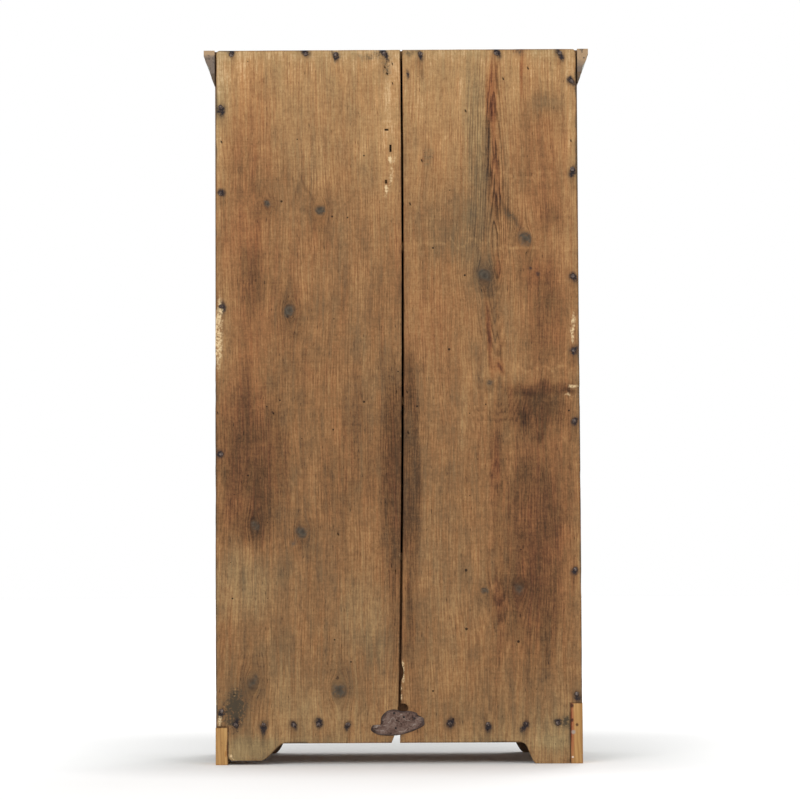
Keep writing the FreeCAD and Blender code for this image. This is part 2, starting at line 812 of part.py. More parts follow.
def raised_panel(sign, name):
    """A panel free in its grooves: a thin tongue all round, a wide bevel and a raised field."""
    x_span = beside(sign, meeting_inside, hinge_inside)
    z_span = panel_spans[name]
    reach = groove_depth - panel_room
    tongue_y = (groove_front + fit, groove_front + groove_width - fit)
    tongue = block(grown(x_span, reach), tongue_y, grown(z_span, reach))
    bevel_front = front_plane + panel_face_setback + panel_quirk
    field_inset = panel_edge_room + panel_bevel
    low = rectangle(grown(x_span, -panel_edge_room), grown(z_span, -panel_edge_room), tongue_y[0])
    high = rectangle(grown(x_span, -field_inset), grown(z_span, -field_inset), bevel_front)
    bevel = Part.makeLoft([low, high], True, True)
    field = block(grown(x_span, -field_inset), (front_plane + panel_face_setback, tongue_y[0]),
                  grown(z_span, -field_inset))
    return tongue.fuse([bevel, field]).removeSplitter()


# Hinges


def hinge_span(sign, near, far):
    """An x span measured from the hinge's axis, positive towards the stile of the case."""
    return beside(sign, hinge_x + near, hinge_x + far)


def leaf_plate_span(sign, toward):
    """The thickness of a leaf: toward is 1 for the case's leaf and -1 for the door's."""
    near, far = sorted((toward * leaf_room, toward * (leaf_room + leaf_thickness)))
    return hinge_span(sign, near, far)


def leaf_sinking(sign, toward, middle_z):
    """The shallow recess that takes a leaf flush."""
    deep = leaf_room + leaf_thickness + fit
    near, far = sorted((toward * leaf_room, toward * deep))
    y_span = (front_plane - past, front_plane + leaf_depth + face_room + fit)
    return block(hinge_span(sign, near, far), y_span, about(middle_z, hinge_height + 2 * fit))


def leaf_screw_places(sign, toward):
    """The head and direction of each screw of the leaves of one door's hinges."""
    x = sign * (hinge_x + toward * (leaf_room + fit))
    y = front_plane + face_room + leaf_depth / 2
    return [(Vector(x, y, middle_z + offset), Vector(sign * toward, 0, 0))
            for middle_z in hinge_heights for offset in (-leaf_screw_spacing / 2, leaf_screw_spacing / 2)]


def leaf_screw_hole(point, direction):
    """The hole for a leaf's screw, through the leaf and into the wood."""
    return aimed(screw_hole(screw_length), point, direction)


def hinge_leaf(sign, toward, middle_z):
    """One leaf with its knuckles: two on the case's leaf, the middle one on the door's."""
    plate_x = leaf_plate_span(sign, toward)
    z_span = about(middle_z, hinge_height)
    plate_front = front_plane + face_room
    plate = block(plate_x, (plate_front, plate_front + leaf_depth), z_span)
    knuckle = (hinge_height - (leaf_knuckles - 1) * face_room) / leaf_knuckles
    starts = [z_span[0], z_span[1] - knuckle] if toward > 0 else [middle_z - knuckle / 2]
    axis = Vector(0, 0, 1)
    pieces = []
    for z in starts:
        pieces.append(Part.makeCylinder(knuckle_radius, knuckle, Vector(sign * hinge_x, hinge_y, z), axis))
        pieces.append(block(plate_x, (hinge_y, plate_front + past), (z, z + knuckle)))
    leaf = plate.fuse(pieces).removeSplitter()
    bore = Part.makeCylinder(pin_radius + pin_room, hinge_height + 2 * past,
                             Vector(sign * hinge_x, hinge_y, z_span[0] - past), axis)
    screws = [leaf_screw_hole(*place) for place in leaf_screw_places(sign, toward)]
    return leaf.cut([bore] + screws)


def hinge_pin(sign, middle_z):
    """A pin with a button at each end."""
    axis = Vector(0, 0, 1)
    foot = Vector(sign * hinge_x, hinge_y, middle_z - hinge_height / 2)
    pin = Part.makeCylinder(pin_radius, hinge_height, foot, axis)
    low = Part.makeCone(pin_radius, pin_button_radius, pin_button, foot - Vector(0, 0, pin_button), axis)
    high = Part.makeCone(pin_button_radius, pin_radius, pin_button, foot + Vector(0, 0, hinge_height), axis)
    return pin.fuse([low, high]).removeSplitter()


# Lock, key and keeper


def keyhole(y_span, room):
    """A keyhole: a round eye for the shank over a slot for the bit."""
    eye = Part.makeCylinder(key_shank_radius + room, y_span[1] - y_span[0],
                            Vector(key_x, y_span[0], key_height), Vector(0, 1, 0))
    slot_z = (key_height - bit_radius - room, key_height)
    slot = block(about(key_x, bit_thickness + 2 * room), y_span, slot_z)
    return eye.fuse(slot)


def lock_screw_places():
    """The screws through the lock's flanges."""
    ends = (key_height - lock_below_key - lock_flange / 2, key_height + lock_above_key + lock_flange / 2)
    xs = (lock_spans[0] + lock_flange, lock_spans[1] - lock_flange)
    y = door_back + lock_wall + screw_head_depth
    return [(Vector(x, y, z), Vector(0, -1, 0)) for x in xs for z in ends]


def lock_case():
    """A folded iron box with a flange above and below, open inside for the bolt and bit."""
    z_span = (key_height - lock_below_key, key_height + lock_above_key)
    box = block(lock_spans, (door_back, lock_back), z_span)
    flange = block(lock_spans, (door_back, door_back + lock_wall), grown(z_span, lock_flange))
    room = block(grown(lock_spans, -lock_wall), (door_back + lock_wall, lock_back - lock_wall),
                 grown(z_span, -lock_wall))
    guide_start = lock_spans[0] + lock_wall
    upper_guide = ((guide_start, lock_spans[1] - lock_wall), (bolt_z[1] + bolt_room, z_span[1] - lock_wall))
    lower_guide = ((guide_start, key_x - bit_radius - end_room), (z_span[0] + lock_wall, bolt_z[0] - bolt_room))
    guides = []
    for guide_x, guide_z in (upper_guide, lower_guide):
        guides.append(block(guide_x, grown(bolt_y, bolt_room), guide_z))
        guides.append(block(about(lock_spans[0] + lock_flange, lock_wall),
                            (door_back + lock_wall, lock_back - lock_wall), guide_z))
    mouth = block((lock_spans[0] - past, lock_spans[0] + lock_wall + past), grown(bolt_y, bolt_room),
                  grown(bolt_z, bolt_room))
    pivot = Part.makeCylinder(key_tip_radius + pin_room, lock_wall + 2 * past,
                              Vector(key_x, lock_back - lock_wall - past, key_height), Vector(0, 1, 0))
    shell = box.fuse(flange).cut(room).fuse(guides).removeSplitter()
    holes = [aimed(plain_screw_hole(), point, direction) for point, direction in lock_screw_places()]
    holes.append(keyhole((door_back - past, door_back + lock_wall + past), keyhole_room))
    return shell.cut([mouth, pivot] + holes)


def plain_screw():
    """A short screw whose domed head stands on a plate."""
    head = Part.makeCone(screw_head_radius, screw_head_radius / 2, screw_head_depth,
                         Vector(0, 0, -screw_head_depth))
    shank = Part.makeCylinder(screw_shank_radius, lock_screw_length,
                              Vector(0, 0, -screw_head_depth - lock_screw_length))
    slot = block(about(0, 2 * screw_head_radius), about(0, screw_slot), (-screw_slot, past))
    return head.fuse(shank).removeSplitter().cut(slot)


def plain_screw_hole():
    """The hole under a domed screw."""
    return Part.makeCylinder(screw_shank_radius + fit, lock_screw_length + end_room,
                             Vector(0, 0, -screw_head_depth - lock_screw_length - end_room))


def lock_bolt():
    """The bolt, with the talon that the bit turns into."""
    bar = block((bolt_tip, bolt_tip + bolt_length), bolt_y, bolt_z)
    talon = block((key_x + talon_offset, key_x + talon_offset + talon_width), grown(bolt_y, past),
                  (bolt_z[0] - past, bolt_z[0] + talon_height))
    return bar.cut(talon)


def key():
    """A key: a ring bow, a collar, a round shank and a bit with two wards."""
    axis = Vector(0, 1, 0)
    outer = front_plane - key_projection
    bow_y = outer + key_bow_radius + key_bow_thickness
    bow = Part.makeTorus(key_bow_radius, key_bow_thickness, Vector(key_x, bow_y, key_height), Vector(1, 0, 0))
    shank_start = bow_y + key_bow_radius
    collar_start = front_plane - plate_thickness - key_collar_length - face_room
    rounds = ((key_shank_radius, shank_start, bit_y[1]),
              (key_collar_radius, collar_start, collar_start + key_collar_length),
              (key_tip_radius, bit_y[1], lock_back))
    bars = [Part.makeCylinder(radius, end - start, Vector(key_x, start, key_height), axis)
            for radius, start, end in rounds]
    bit = block(about(key_x, bit_thickness), bit_y, (key_height - bit_radius, key_height))
    wards = [block(about(key_x, 2 * bit_thickness), about(y, ward_width),
                   (key_height - bit_radius - past, key_height - bit_radius + ward_depth))
             for y in grown(bit_y, -ward_inset)]
    return bow.fuse(bars + [bit.cut(wards)]).removeSplitter()


def escutcheon():
    """A plain plate with round ends, round the keyhole."""
    radius = plate_width / 2
    y_span = (front_plane - plate_thickness, front_plane)
    z_span = about(key_height - plate_drop, plate_height - plate_width)
    plate = block(about(key_x, plate_width), y_span, z_span)
    ends = [Part.makeCylinder(radius, plate_thickness, Vector(key_x, y_span[0], z), Vector(0, 1, 0))
            for z in z_span]
    return plate.fuse(ends).removeSplitter().cut(keyhole(grown(y_span, past), keyhole_room))


def keeper_screw_places():
    """The screws through the keeper's flanges."""
    x = -(lock_spans[0] + keeper_width / 2)
    ends = (bolt_z[0] - keeper_wall - keeper_flange / 2, bolt_z[1] + keeper_wall + keeper_flange / 2)
    return [(Vector(x, door_back + lock_wall + screw_head_depth, z), Vector(0, -1, 0)) for z in ends]


def keeper():
    """The iron box that the thrown bolt enters."""
    x_span = beside(-1, lock_spans[0], lock_spans[0] + keeper_width)
    z_span = grown(bolt_z, keeper_wall)
    box = block(x_span, (door_back, lock_back), z_span)
    flange = block(x_span, (door_back, door_back + lock_wall), grown(z_span, keeper_flange))
    pocket = block((x_span[0] + keeper_wall, x_span[1] + past), grown(bolt_y, 2 * bolt_room),
                   grown(bolt_z, 2 * bolt_room))
    holes = [aimed(plain_screw_hole(), point, direction) for point, direction in keeper_screw_places()]
    return box.fuse(flange).removeSplitter().cut([pocket] + holes)


# Slide bolt of the left door


def slide_screw_places():
    """The screws of the slide bolt's plate, between the two guides."""
    z = lower_guide_top + (guide_spacing - guide_height) / 2
    spread = slide_plate_width / 2 - screw_head_radius - end_room
    y = door_back + slide_plate_thickness + screw_head_depth
    return [(Vector(slide_x + side * spread, y, z), Vector(0, -1, 0)) for side in (-1, 1)]


def slide_plate():
    """The plate of the slide bolt with its two guides."""
    x_span = about(slide_x, slide_plate_width)
    plate = block(x_span, (door_back, door_back + slide_plate_thickness),
                  (plate_top - slide_plate_height, plate_top))
    guide_x = about(slide_x, 2 * (slide_bolt_radius + guide_wall))
    guide_y = (door_back, slide_y + slide_bolt_radius + guide_wall)
    guides = [block(guide_x, guide_y, (z - guide_height, z)) for z in (upper_guide_top, lower_guide_top)]
    bore = Part.makeCylinder(slide_bolt_radius + pin_room, slide_plate_height,
                             Vector(slide_x, slide_y, plate_top), Vector(0, 0, -1))
    screws = [aimed(plain_screw_hole(), *place) for place in slide_screw_places()]
    return plate.fuse(guides).removeSplitter().cut([bore] + screws)


def door_bolt():
    """The round bolt, drawn down at rest, with a knob that then lies on the lower guide."""
    rod = Part.makeCylinder(slide_bolt_radius, slide_bolt_length, Vector(slide_x, slide_y, slide_top),
                            Vector(0, 0, -1))
    knob_z = lower_guide_top + face_room + slide_knob_radius
    knob = Part.makeCylinder(slide_knob_radius, slide_bolt_radius + slide_knob_length,
                             Vector(slide_x, slide_y, knob_z), Vector(0, 1, 0))
    return rod.fuse(knob).removeSplitter()


# Door stops


def top_door_stop():
    """The strip behind the top rail that both doors close on; its hole takes the slide bolt."""
    strip = block((-stop_length / 2, stop_length / 2), (frame_back, frame_back + stop_depth),
                  (opening_top - stop_lap, opening_top - stop_lap + stop_height))
    hole = Part.makeCylinder(slide_bolt_radius + stop_hole_room, stop_height + 2 * past,
                             Vector(slide_x, slide_y, opening_top - stop_lap - past), Vector(0, 0, 1))
    return strip.cut(hole)


def bottom_door_stop(sign):
    """A block on the bottom board behind a door."""
    return block(about(sign * block_offset, block_length), (frame_back, frame_back + stop_depth),
                 (opening_bottom, opening_bottom + block_height))


def door_pieces(sign, word):
    """All the wooden pieces of one door by name."""
    door_screws = [leaf_screw_hole(*place) for place in leaf_screw_places(sign, -1)]
    hinge_cuts = [leaf_sinking(sign, -1, z) for z in hinge_heights] + door_screws
    plates = lock_screw_places() if sign > 0 else keeper_screw_places() + slide_screw_places()
    lock_cuts = [aimed(plain_screw_hole(), point, direction) for point, direction in plates]
    if sign > 0:
        lock_cuts.append(keyhole((front_plane - past, door_back + past), keyhole_room))
    pieces = {
        f"door_{word}_hinge_stile": door_stile(sign, hinge_inside, hinge_edge, hinge_inside, hinge_cuts),
        f"door_{word}_meeting_stile": door_stile(sign, meeting_edge, meeting_inside, meeting_inside,
                                                 lock_cuts),
    }
    for name in rail_spans:
        pieces[f"door_{word}_{name}"] = door_rail(sign, name, lock_cuts)
    for name in panel_spans:
        pieces[f"door_{word}_{name}"] = raised_panel(sign, name)
    pegs = [peg(point, door_thickness) for point in door_peg_places(sign)]
    pieces[f"door_{word}_pegs"] = Part.makeCompound(pegs)
    pieces[f"door_hinge_leaves_{word}"] = Part.makeCompound([hinge_leaf(sign, -1, z) for z in hinge_heights])
    screws = [aimed(screw(screw_length), *place) for place in leaf_screw_places(sign, -1)]
    screws += [aimed(plain_screw(), *place) for place in plates]
    pieces[f"door_{word}_screws"] = Part.makeCompound(screws)
    return pieces


def case_pieces():
    """All the pieces of the case by name."""
    back_holes = back_nail_holes()
    nail_holes = case_nail_holes()
    pieces = {}
    for sign, word in ((-1, "left"), (1, "right")):
        pieces[f"side_{word}"] = side_board(sign, back_holes + nail_holes)
        pieces[f"rear_foot_{word}"] = rear_foot(sign)
        pieces[f"back_board_{word}"] = back_board(sign, back_holes + tack_holes())
        pieces[f"front_stile_{word}"] = front_stile(sign, nail_holes)
        pieces[f"crown_{word}"] = side_moulding(sign, crown_face, nail_holes)
        pieces[f"bed_mould_{word}"] = side_moulding(sign, bed_face, [])
        leaves = [hinge_leaf(sign, 1, z) for z in hinge_heights]
        pieces[f"frame_hinge_leaves_{word}"] = Part.makeCompound(leaves)
    pieces["top_board"] = top_board(back_holes + nail_holes)
    pieces["bottom_board"] = shelf(bottom_board_height, frame_back, back_holes + nail_holes)
    for name, underside in shelf_undersides.items():
        pieces[name] = shelf(underside, shelf_front, nail_holes)
    pieces["joint_batten"] = joint_batten()
    pieces["front_top_rail"] = frame_rail(frame_rail_spans()[1], opening_top, nail_holes)
    pieces["front_skirt"] = front_skirt([])
    pieces["crown_front"] = front_moulding(crown_face, nail_holes)
    pieces["bed_mould_front"] = front_moulding(bed_face, [])
    pegs = [peg(point, frame_thickness) for point in frame_peg_places()]
    pieces["face_frame_pegs"] = Part.makeCompound(pegs)
    pieces["back_nails"] = Part.makeCompound(back_nails())
    pieces["case_nails"] = Part.makeCompound(case_nails())
    pieces["patch_plate"] = patch_plate()
    tacks = [aimed(patch_tack(), patch_point(*place), Vector(0, -1, 0)) for place in tack_places]
    pieces["patch_tacks"] = Part.makeCompound(tacks)
    pieces["top_door_stop"] = top_door_stop()
    pieces["bottom_door_stops"] = Part.makeCompound([bottom_door_stop(sign) for sign in (-1, 1)])
    pieces["hinge_pins"] = Part.makeCompound([hinge_pin(sign, z) for sign in (-1, 1) for z in hinge_heights])
    frame_screws = [aimed(screw(screw_length), *place)
                    for sign in (-1, 1) for place in leaf_screw_places(sign, 1)]
    pieces["frame_hinge_screws"] = Part.makeCompound(frame_screws)
    return pieces


def lock_pieces():
    """The lock, its key and keeper, and the slide bolt."""
    return {
        "lock_case": lock_case(),
        "lock_bolt": lock_bolt(),
        "key": key(),
        "escutcheon": escutcheon(),
        "keeper": keeper(),
        "slide_bolt_plate": slide_plate(),
        "door_bolt": door_bolt(),
    }


pieces = {**case_pieces(), **door_pieces(-1, "left"), **door_pieces(1, "right"), **lock_pieces()}
os.makedirs("parts", exist_ok=True)
for name, shape in pieces.items():
    shape.exportStep(f"parts/{name}.step")
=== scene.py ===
"""Looks of a two-door country cupboard of old pine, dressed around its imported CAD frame.

Sizes in the classes are in millimetres, in the frame of the CAD model: the front faces -Y, up is +Z,
and left and right are as seen from the front.  Meshes are written in metres.
"""

from __future__ import annotations

import logging
import math
from collections.abc import Callable, Sequence
from dataclasses import dataclass, replace
from enum import Enum
from fnmatch import fnmatch
from functools import partial

import bpy
import numpy as np
from mathutils import Matrix, Vector


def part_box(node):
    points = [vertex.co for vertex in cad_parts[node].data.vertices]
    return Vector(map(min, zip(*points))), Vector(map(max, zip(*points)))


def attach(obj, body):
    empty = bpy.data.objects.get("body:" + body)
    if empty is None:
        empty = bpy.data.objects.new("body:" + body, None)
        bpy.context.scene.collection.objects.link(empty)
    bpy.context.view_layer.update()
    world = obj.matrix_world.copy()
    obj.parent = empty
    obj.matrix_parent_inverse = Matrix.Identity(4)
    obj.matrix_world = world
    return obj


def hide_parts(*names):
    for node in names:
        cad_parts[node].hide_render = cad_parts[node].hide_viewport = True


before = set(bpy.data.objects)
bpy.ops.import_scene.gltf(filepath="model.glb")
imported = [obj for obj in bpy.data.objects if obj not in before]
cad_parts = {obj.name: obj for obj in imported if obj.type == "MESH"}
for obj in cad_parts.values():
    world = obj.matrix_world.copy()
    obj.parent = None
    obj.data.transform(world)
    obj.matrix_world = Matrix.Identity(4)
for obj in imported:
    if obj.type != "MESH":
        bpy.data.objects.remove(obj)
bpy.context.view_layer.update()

log = logging.getLogger("cupboard")
MM = 0.001
Array = np.ndarray
Socket = bpy.types.NodeSocket
Add = Callable[..., Socket]
Stops = Sequence[tuple[float, str]]
# On each axis the least offset of a heart line, its step and the number of its places
Hearts = tuple[tuple[float, float, int], ...]

# Planes and sizes that the pieces share with the CAD model
CASE_HEIGHT = 1700.0
HALF_WIDTH = 433.5
SIDE_INSIDE = 405.5
BACK_PLANE = 231.75
BOARD_FRONT = 211.75
ARCH_HEIGHT = 50.0
# The joint between the boards is a bowed line, given at the floor, the middle and the top
JOINT_X = (2.0, -12.0, -12.6)
JOINT_WIDTH = 5.0
# The middle and radius of the round hole that vermin gnawed
VERMIN_HOLE = (-9.0, 131.0, 12.0)


class Axis(Enum):
    """The way the grain of a board runs."""

    X = 0
    Y = 1
    Z = 2


class Field(Enum):
    """A value that a board carries at each point of its surface."""

    RING = "ring"
    COUNT = "count"
    TONE = "tone"
    HUE = "hue"
    KNOT = "knot"
    FRESH = "fresh"
    IRON = "iron"
    GRIME = "grime"
    GRAIN = "grain"
    HOLE = "hole"
    RIM = "rim"


# Colour, nodes and meshes


def linear(colour: str) -> tuple[float, float, float, float]:
    """Turns an sRGB hex colour into linear light.

    Args:
        colour: Six hex digits after a hash sign.

    Returns:
        Red, green, blue and alpha for a colour socket.
    """
    parts = (int(colour[n:n + 2], 16) / 255 for n in (1, 3, 5))
    return (*(p / 12.92 if p <= 0.04045 else ((p + 0.055) / 1.055) ** 2.4 for p in parts), 1.0)


def put(tree: bpy.types.NodeTree, kind: str, *values: object, out: int | str = 0, stops: Stops = (),
        **named: object) -> Socket | None:
    """Adds one node with its settings and links.

    Args:
        tree: The node tree.
        kind: The node's type without its prefix, and after a space its operation or interpolation.
        values: Its inputs in order: a socket is linked, None is left, a hex colour is turned to linear.
        out: The output that is wanted.
        stops: Places and colours of a colour ramp.
        named: With a capital, an input whose blanks are underscores; else a field of the node.

    Returns:
        The output socket, if the node has one.
    """
    kind, *mode = kind.split()
    node = tree.nodes.new("ShaderNode" + kind)
    if mode:
        named["interpolation_type" if kind == "MapRange" else "operation"] = mode[0]
    inputs = dict(enumerate(values))
    for name, value in named.items():
        if name[0].isupper():
            inputs[name.replace("_", " ")] = value
        else:
            setattr(node, name, value)
    for n, (place, colour) in enumerate(stops):
        stop = node.color_ramp.elements[n] if n < 2 else node.color_ramp.elements.new(place)
        stop.position, stop.color = place, linear(colour)
    for key, value in inputs.items():
        if isinstance(value, Socket):
            tree.links.new(value, node.inputs[key])
        elif value is not None:
            node.inputs[key].default_value = linear(value) if isinstance(value, str) else value
    return node.outputs[out] if node.outputs else None


def new_material(name: str) -> tuple[bpy.types.Material, Add]:
    """Starts an empty node material, with put bound to its tree."""
    material = bpy.data.materials.new(name)
    material.use_nodes = True
    material.node_tree.nodes.clear()
    return material, partial(put, material.node_tree)


def coats(add: Add, colour: object, *layers: tuple[object, object]) -> Socket:
    """Lays coats over a colour one after another: each is a share and a colour."""
    for share, paint in layers:
        colour = add("Mix", share, *[None] * 5, colour, paint, out=2, data_type="RGBA")
    return colour


def total(add: Add, base: object, *parts: tuple[object, float]) -> Socket:
    """Adds to a base value one part after another: each is a value and its weight."""
    for part, weight in parts:
        base = add("Math MULTIPLY_ADD", part, weight, base)
    return base


def close_material(add: Add, colour: object, roughness: object, height: object, depth_mm: float,
                   metallic: float = 0.0, specular: float = 0.5) -> None:
    """Ends a material with its shader.

    Args:
        add: Adds nodes.
        colour: Base colour.
        roughness: Roughness.
        height: Relief from 0 to 1 for the bump.
        depth_mm: How deep that relief is.
        metallic: Metallic share.
        specular: Specular level: half is plain, less is a surface of open fibres.
    """
    normal = add("Bump", Height=height, Distance=depth_mm * MM, Strength=1)
    add("OutputMaterial", add("BsdfPrincipled", Base_Color=colour, Roughness=roughness, Metallic=metallic,
                              Specular_IOR_Level=specular, Normal=normal))


def new_object(name: str, data: bpy.types.ID) -> bpy.types.Object:
    """Makes an object of its data in the scene."""
    thing = bpy.data.objects.new(name, data)
    bpy.context.scene.collection.objects.link(thing)
    return thing


def new_piece(name: str, points: Array, faces: Array, material: bpy.types.Material, replaced: str,
              fields: dict[Field, Array] | None = None, sharp_degrees: float = 40.0) -> bpy.types.Object:
    """Makes a finished piece of the case from worked-out points and quads.

    Args:
        name: The piece's name.
        points: Its vertices in millimetres, one row each.
        faces: Four vertex numbers to a row, turning outwards; a repeated number makes a triangle.
        material: Its finish.
        replaced: The CAD node it stands for.
        fields: Values carried by its vertices.
        sharp_degrees: Edges sharper than this stay sharp.

    Returns:
        The object.
    """
    mesh = bpy.data.meshes.new(name)
    mesh.from_pydata((points * MM).tolist(), [], [tuple(dict.fromkeys(face)) for face in faces.tolist()])
    mesh.polygons.foreach_set("use_smooth", np.ones(len(mesh.polygons), bool))
    mesh.set_sharp_from_angle(angle=math.radians(sharp_degrees))
    for kind, values in (fields or {}).items():
        attribute = mesh.attributes.new(kind.value, "FLOAT", "POINT")
        attribute.data.foreach_set("value", values.astype(np.float32).ravel())
    mesh.materials.append(material)
    mesh.update()
    piece = new_object(name, mesh)
    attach(piece, "case")
    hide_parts(replaced)
    log.info("%s: %d vertices, %d faces", name, len(points), len(faces))
    return piece


def smooth(value: Array) -> Array:
    """Eases a share from 0 to 1: three squares less two cubes."""
    share = np.clip(value, 0, 1)
    return share * share * (3 - 2 * share)


def drift(x: Array, z: Array, step_x: float, step_z: float, seed: int) -> Array:
    """Smooth random unevenness: seeded numbers on a lattice, eased from one to the next.

    Args:
        x: Places across, in millimetres.
        z: Places along.
        step_x: Lattice step across.
        step_z: Lattice step along.
        seed: Which lattice.

    Returns:
        Values from -1 to 1.
    """
    size = 64
    lattice = np.random.default_rng(seed).uniform(-1, 1, (size, size))
    u, v = x / step_x, z / step_z
    i, j = np.floor(u).astype(int), np.floor(v).astype(int)
    fu, fv = smooth(u - i), smooth(v - j)
    low, high = (lattice[i % size, k % size] * (1 - fu) + lattice[(i + 1) % size, k % size] * fu for k in (j, j + 1))
    return low * (1 - fv) + high * fv


# Finishes


@dataclass(frozen=True)
class Pine:
    """White pine sawn to boards: how its rings and fibres show as streaks.

    Growth rings show as thin dark lines of late wood, hand planing leaves fibres that show as short flecks
    along the grain, and the wood between drifts slowly from light to dark.  Real rings and fibres, of one
    to two millimetres and less, are too fine to show from afar, so both are drawn coarser.
    """

    ring_mm: float = 2.6
    # Name, width across, length along and detail of each layer of noise
    layers: tuple[tuple[str, float, float, float], ...] = (
        ("fine", 3.4, 130, 3), ("broad", 15, 480, 2), ("tint", 9, 330, 2), ("fleck", 2.4, 30, 2))
    # How far the heart line wanders, and over what lengths across and along
    wander_mm: tuple[float, float, float] = (46.0, 110.0, 700.0)

    def streaks(self, add: Add, radius: Socket, along: Socket, seed: float) -> dict[str, Socket]:
        """Noise stretched along the grain.

        Args:
            add: Adds nodes.
            radius: Distance from the heart of the tree in millimetres.
            along: Place along the grain in millimetres.
            seed: Shifts the pattern from piece to piece.

        Returns:
            A value from 0 to 1 for each layer.
        """
        found = {}
        for name, wide, long, detail in self.layers:
            place = add("CombineXYZ", add("Math MULTIPLY", radius, 1 / wide), add("Math MULTIPLY", along, 1 / long),
                        seed + wide)
            found[name] = add("TexNoise", place, Scale=1, Detail=detail, Roughness=0.6)
        return found

    def late_wood(self, add: Add, count: Socket) -> Socket:
        """The dark part of each ring, from the ring count: it comes softly and ends sharply."""
        part = add("Math FRACT", count)
        rise = add("MapRange SMOOTHSTEP", part, 0.35, 0.8, 0, 1)
        return add("Math MULTIPLY", rise, add("MapRange", part, 0.86, 1, 1, 0))

    def solid(self, add: Add, box: Sequence[Vector], grain: Axis, hearts: Hearts, seed: int) -> tuple[Socket, Socket]:
        """The board as a piece of a tree: distance from a heart line that wanders, and length along it.

        Args:
            add: Adds nodes.
            box: The corners of the piece's box.
            grain: The way the heart line runs.
            hearts: How far off the middle of the box the heart line passes.
            seed: Which of its places it takes.

        Returns:
            Radius and length in millimetres.
        """
        swing, wide, long = self.wander_mm
        offset = [least + step * (seed % turns) for least, step, turns in hearts]
        heart = tuple(-(a + b) / 2 / MM - s for a, b, s in zip(*box, offset))
        place = add("VectorMath MULTIPLY_ADD", add("TexCoord", out="Object"), (1 / MM,) * 3, heart)
        stretch, flat = [1 / wide] * 3, [1.0] * 3
        stretch[grain.value], flat[grain.value] = 1 / long, 0.0
        wave = add("TexNoise", add("VectorMath MULTIPLY", place, tuple(stretch)), out="Color", Scale=1, Detail=1)
        wave = add("VectorMath MULTIPLY_ADD", wave, (swing,) * 3, (-swing / 2,) * 3)
        across = add("VectorMath MULTIPLY", add("VectorMath ADD", place, wave), tuple(flat))
        return add("VectorMath LENGTH", across, out="Value"), add("SeparateXYZ", place, out=grain.value)


def insets(add: Add, place: Socket, low: Vector, high: Vector) -> list[Socket]:
    """How far a place lies inside a box on each axis, in metres: the nearer of the two sides counts."""
    return [add("Math MINIMUM", add("Math SUBTRACT", part, a), add("Math SUBTRACT", b, part))
            for part, a, b in zip(add("SeparateXYZ", place).node.outputs, low, high)]


def box_edge(add: Add, near: Sequence[Socket]) -> Socket:
    """Distance from the edges of a box: the middle one of the three insets.

    On a face of the box one of the three is nought, and by an edge a second is small.
    """
    least, most = add("Math MINIMUM", *near[:2]), add("Math MAXIMUM", *near[:2])
    return add("Math MAXIMUM", least, add("Math MINIMUM", most, near[2]))


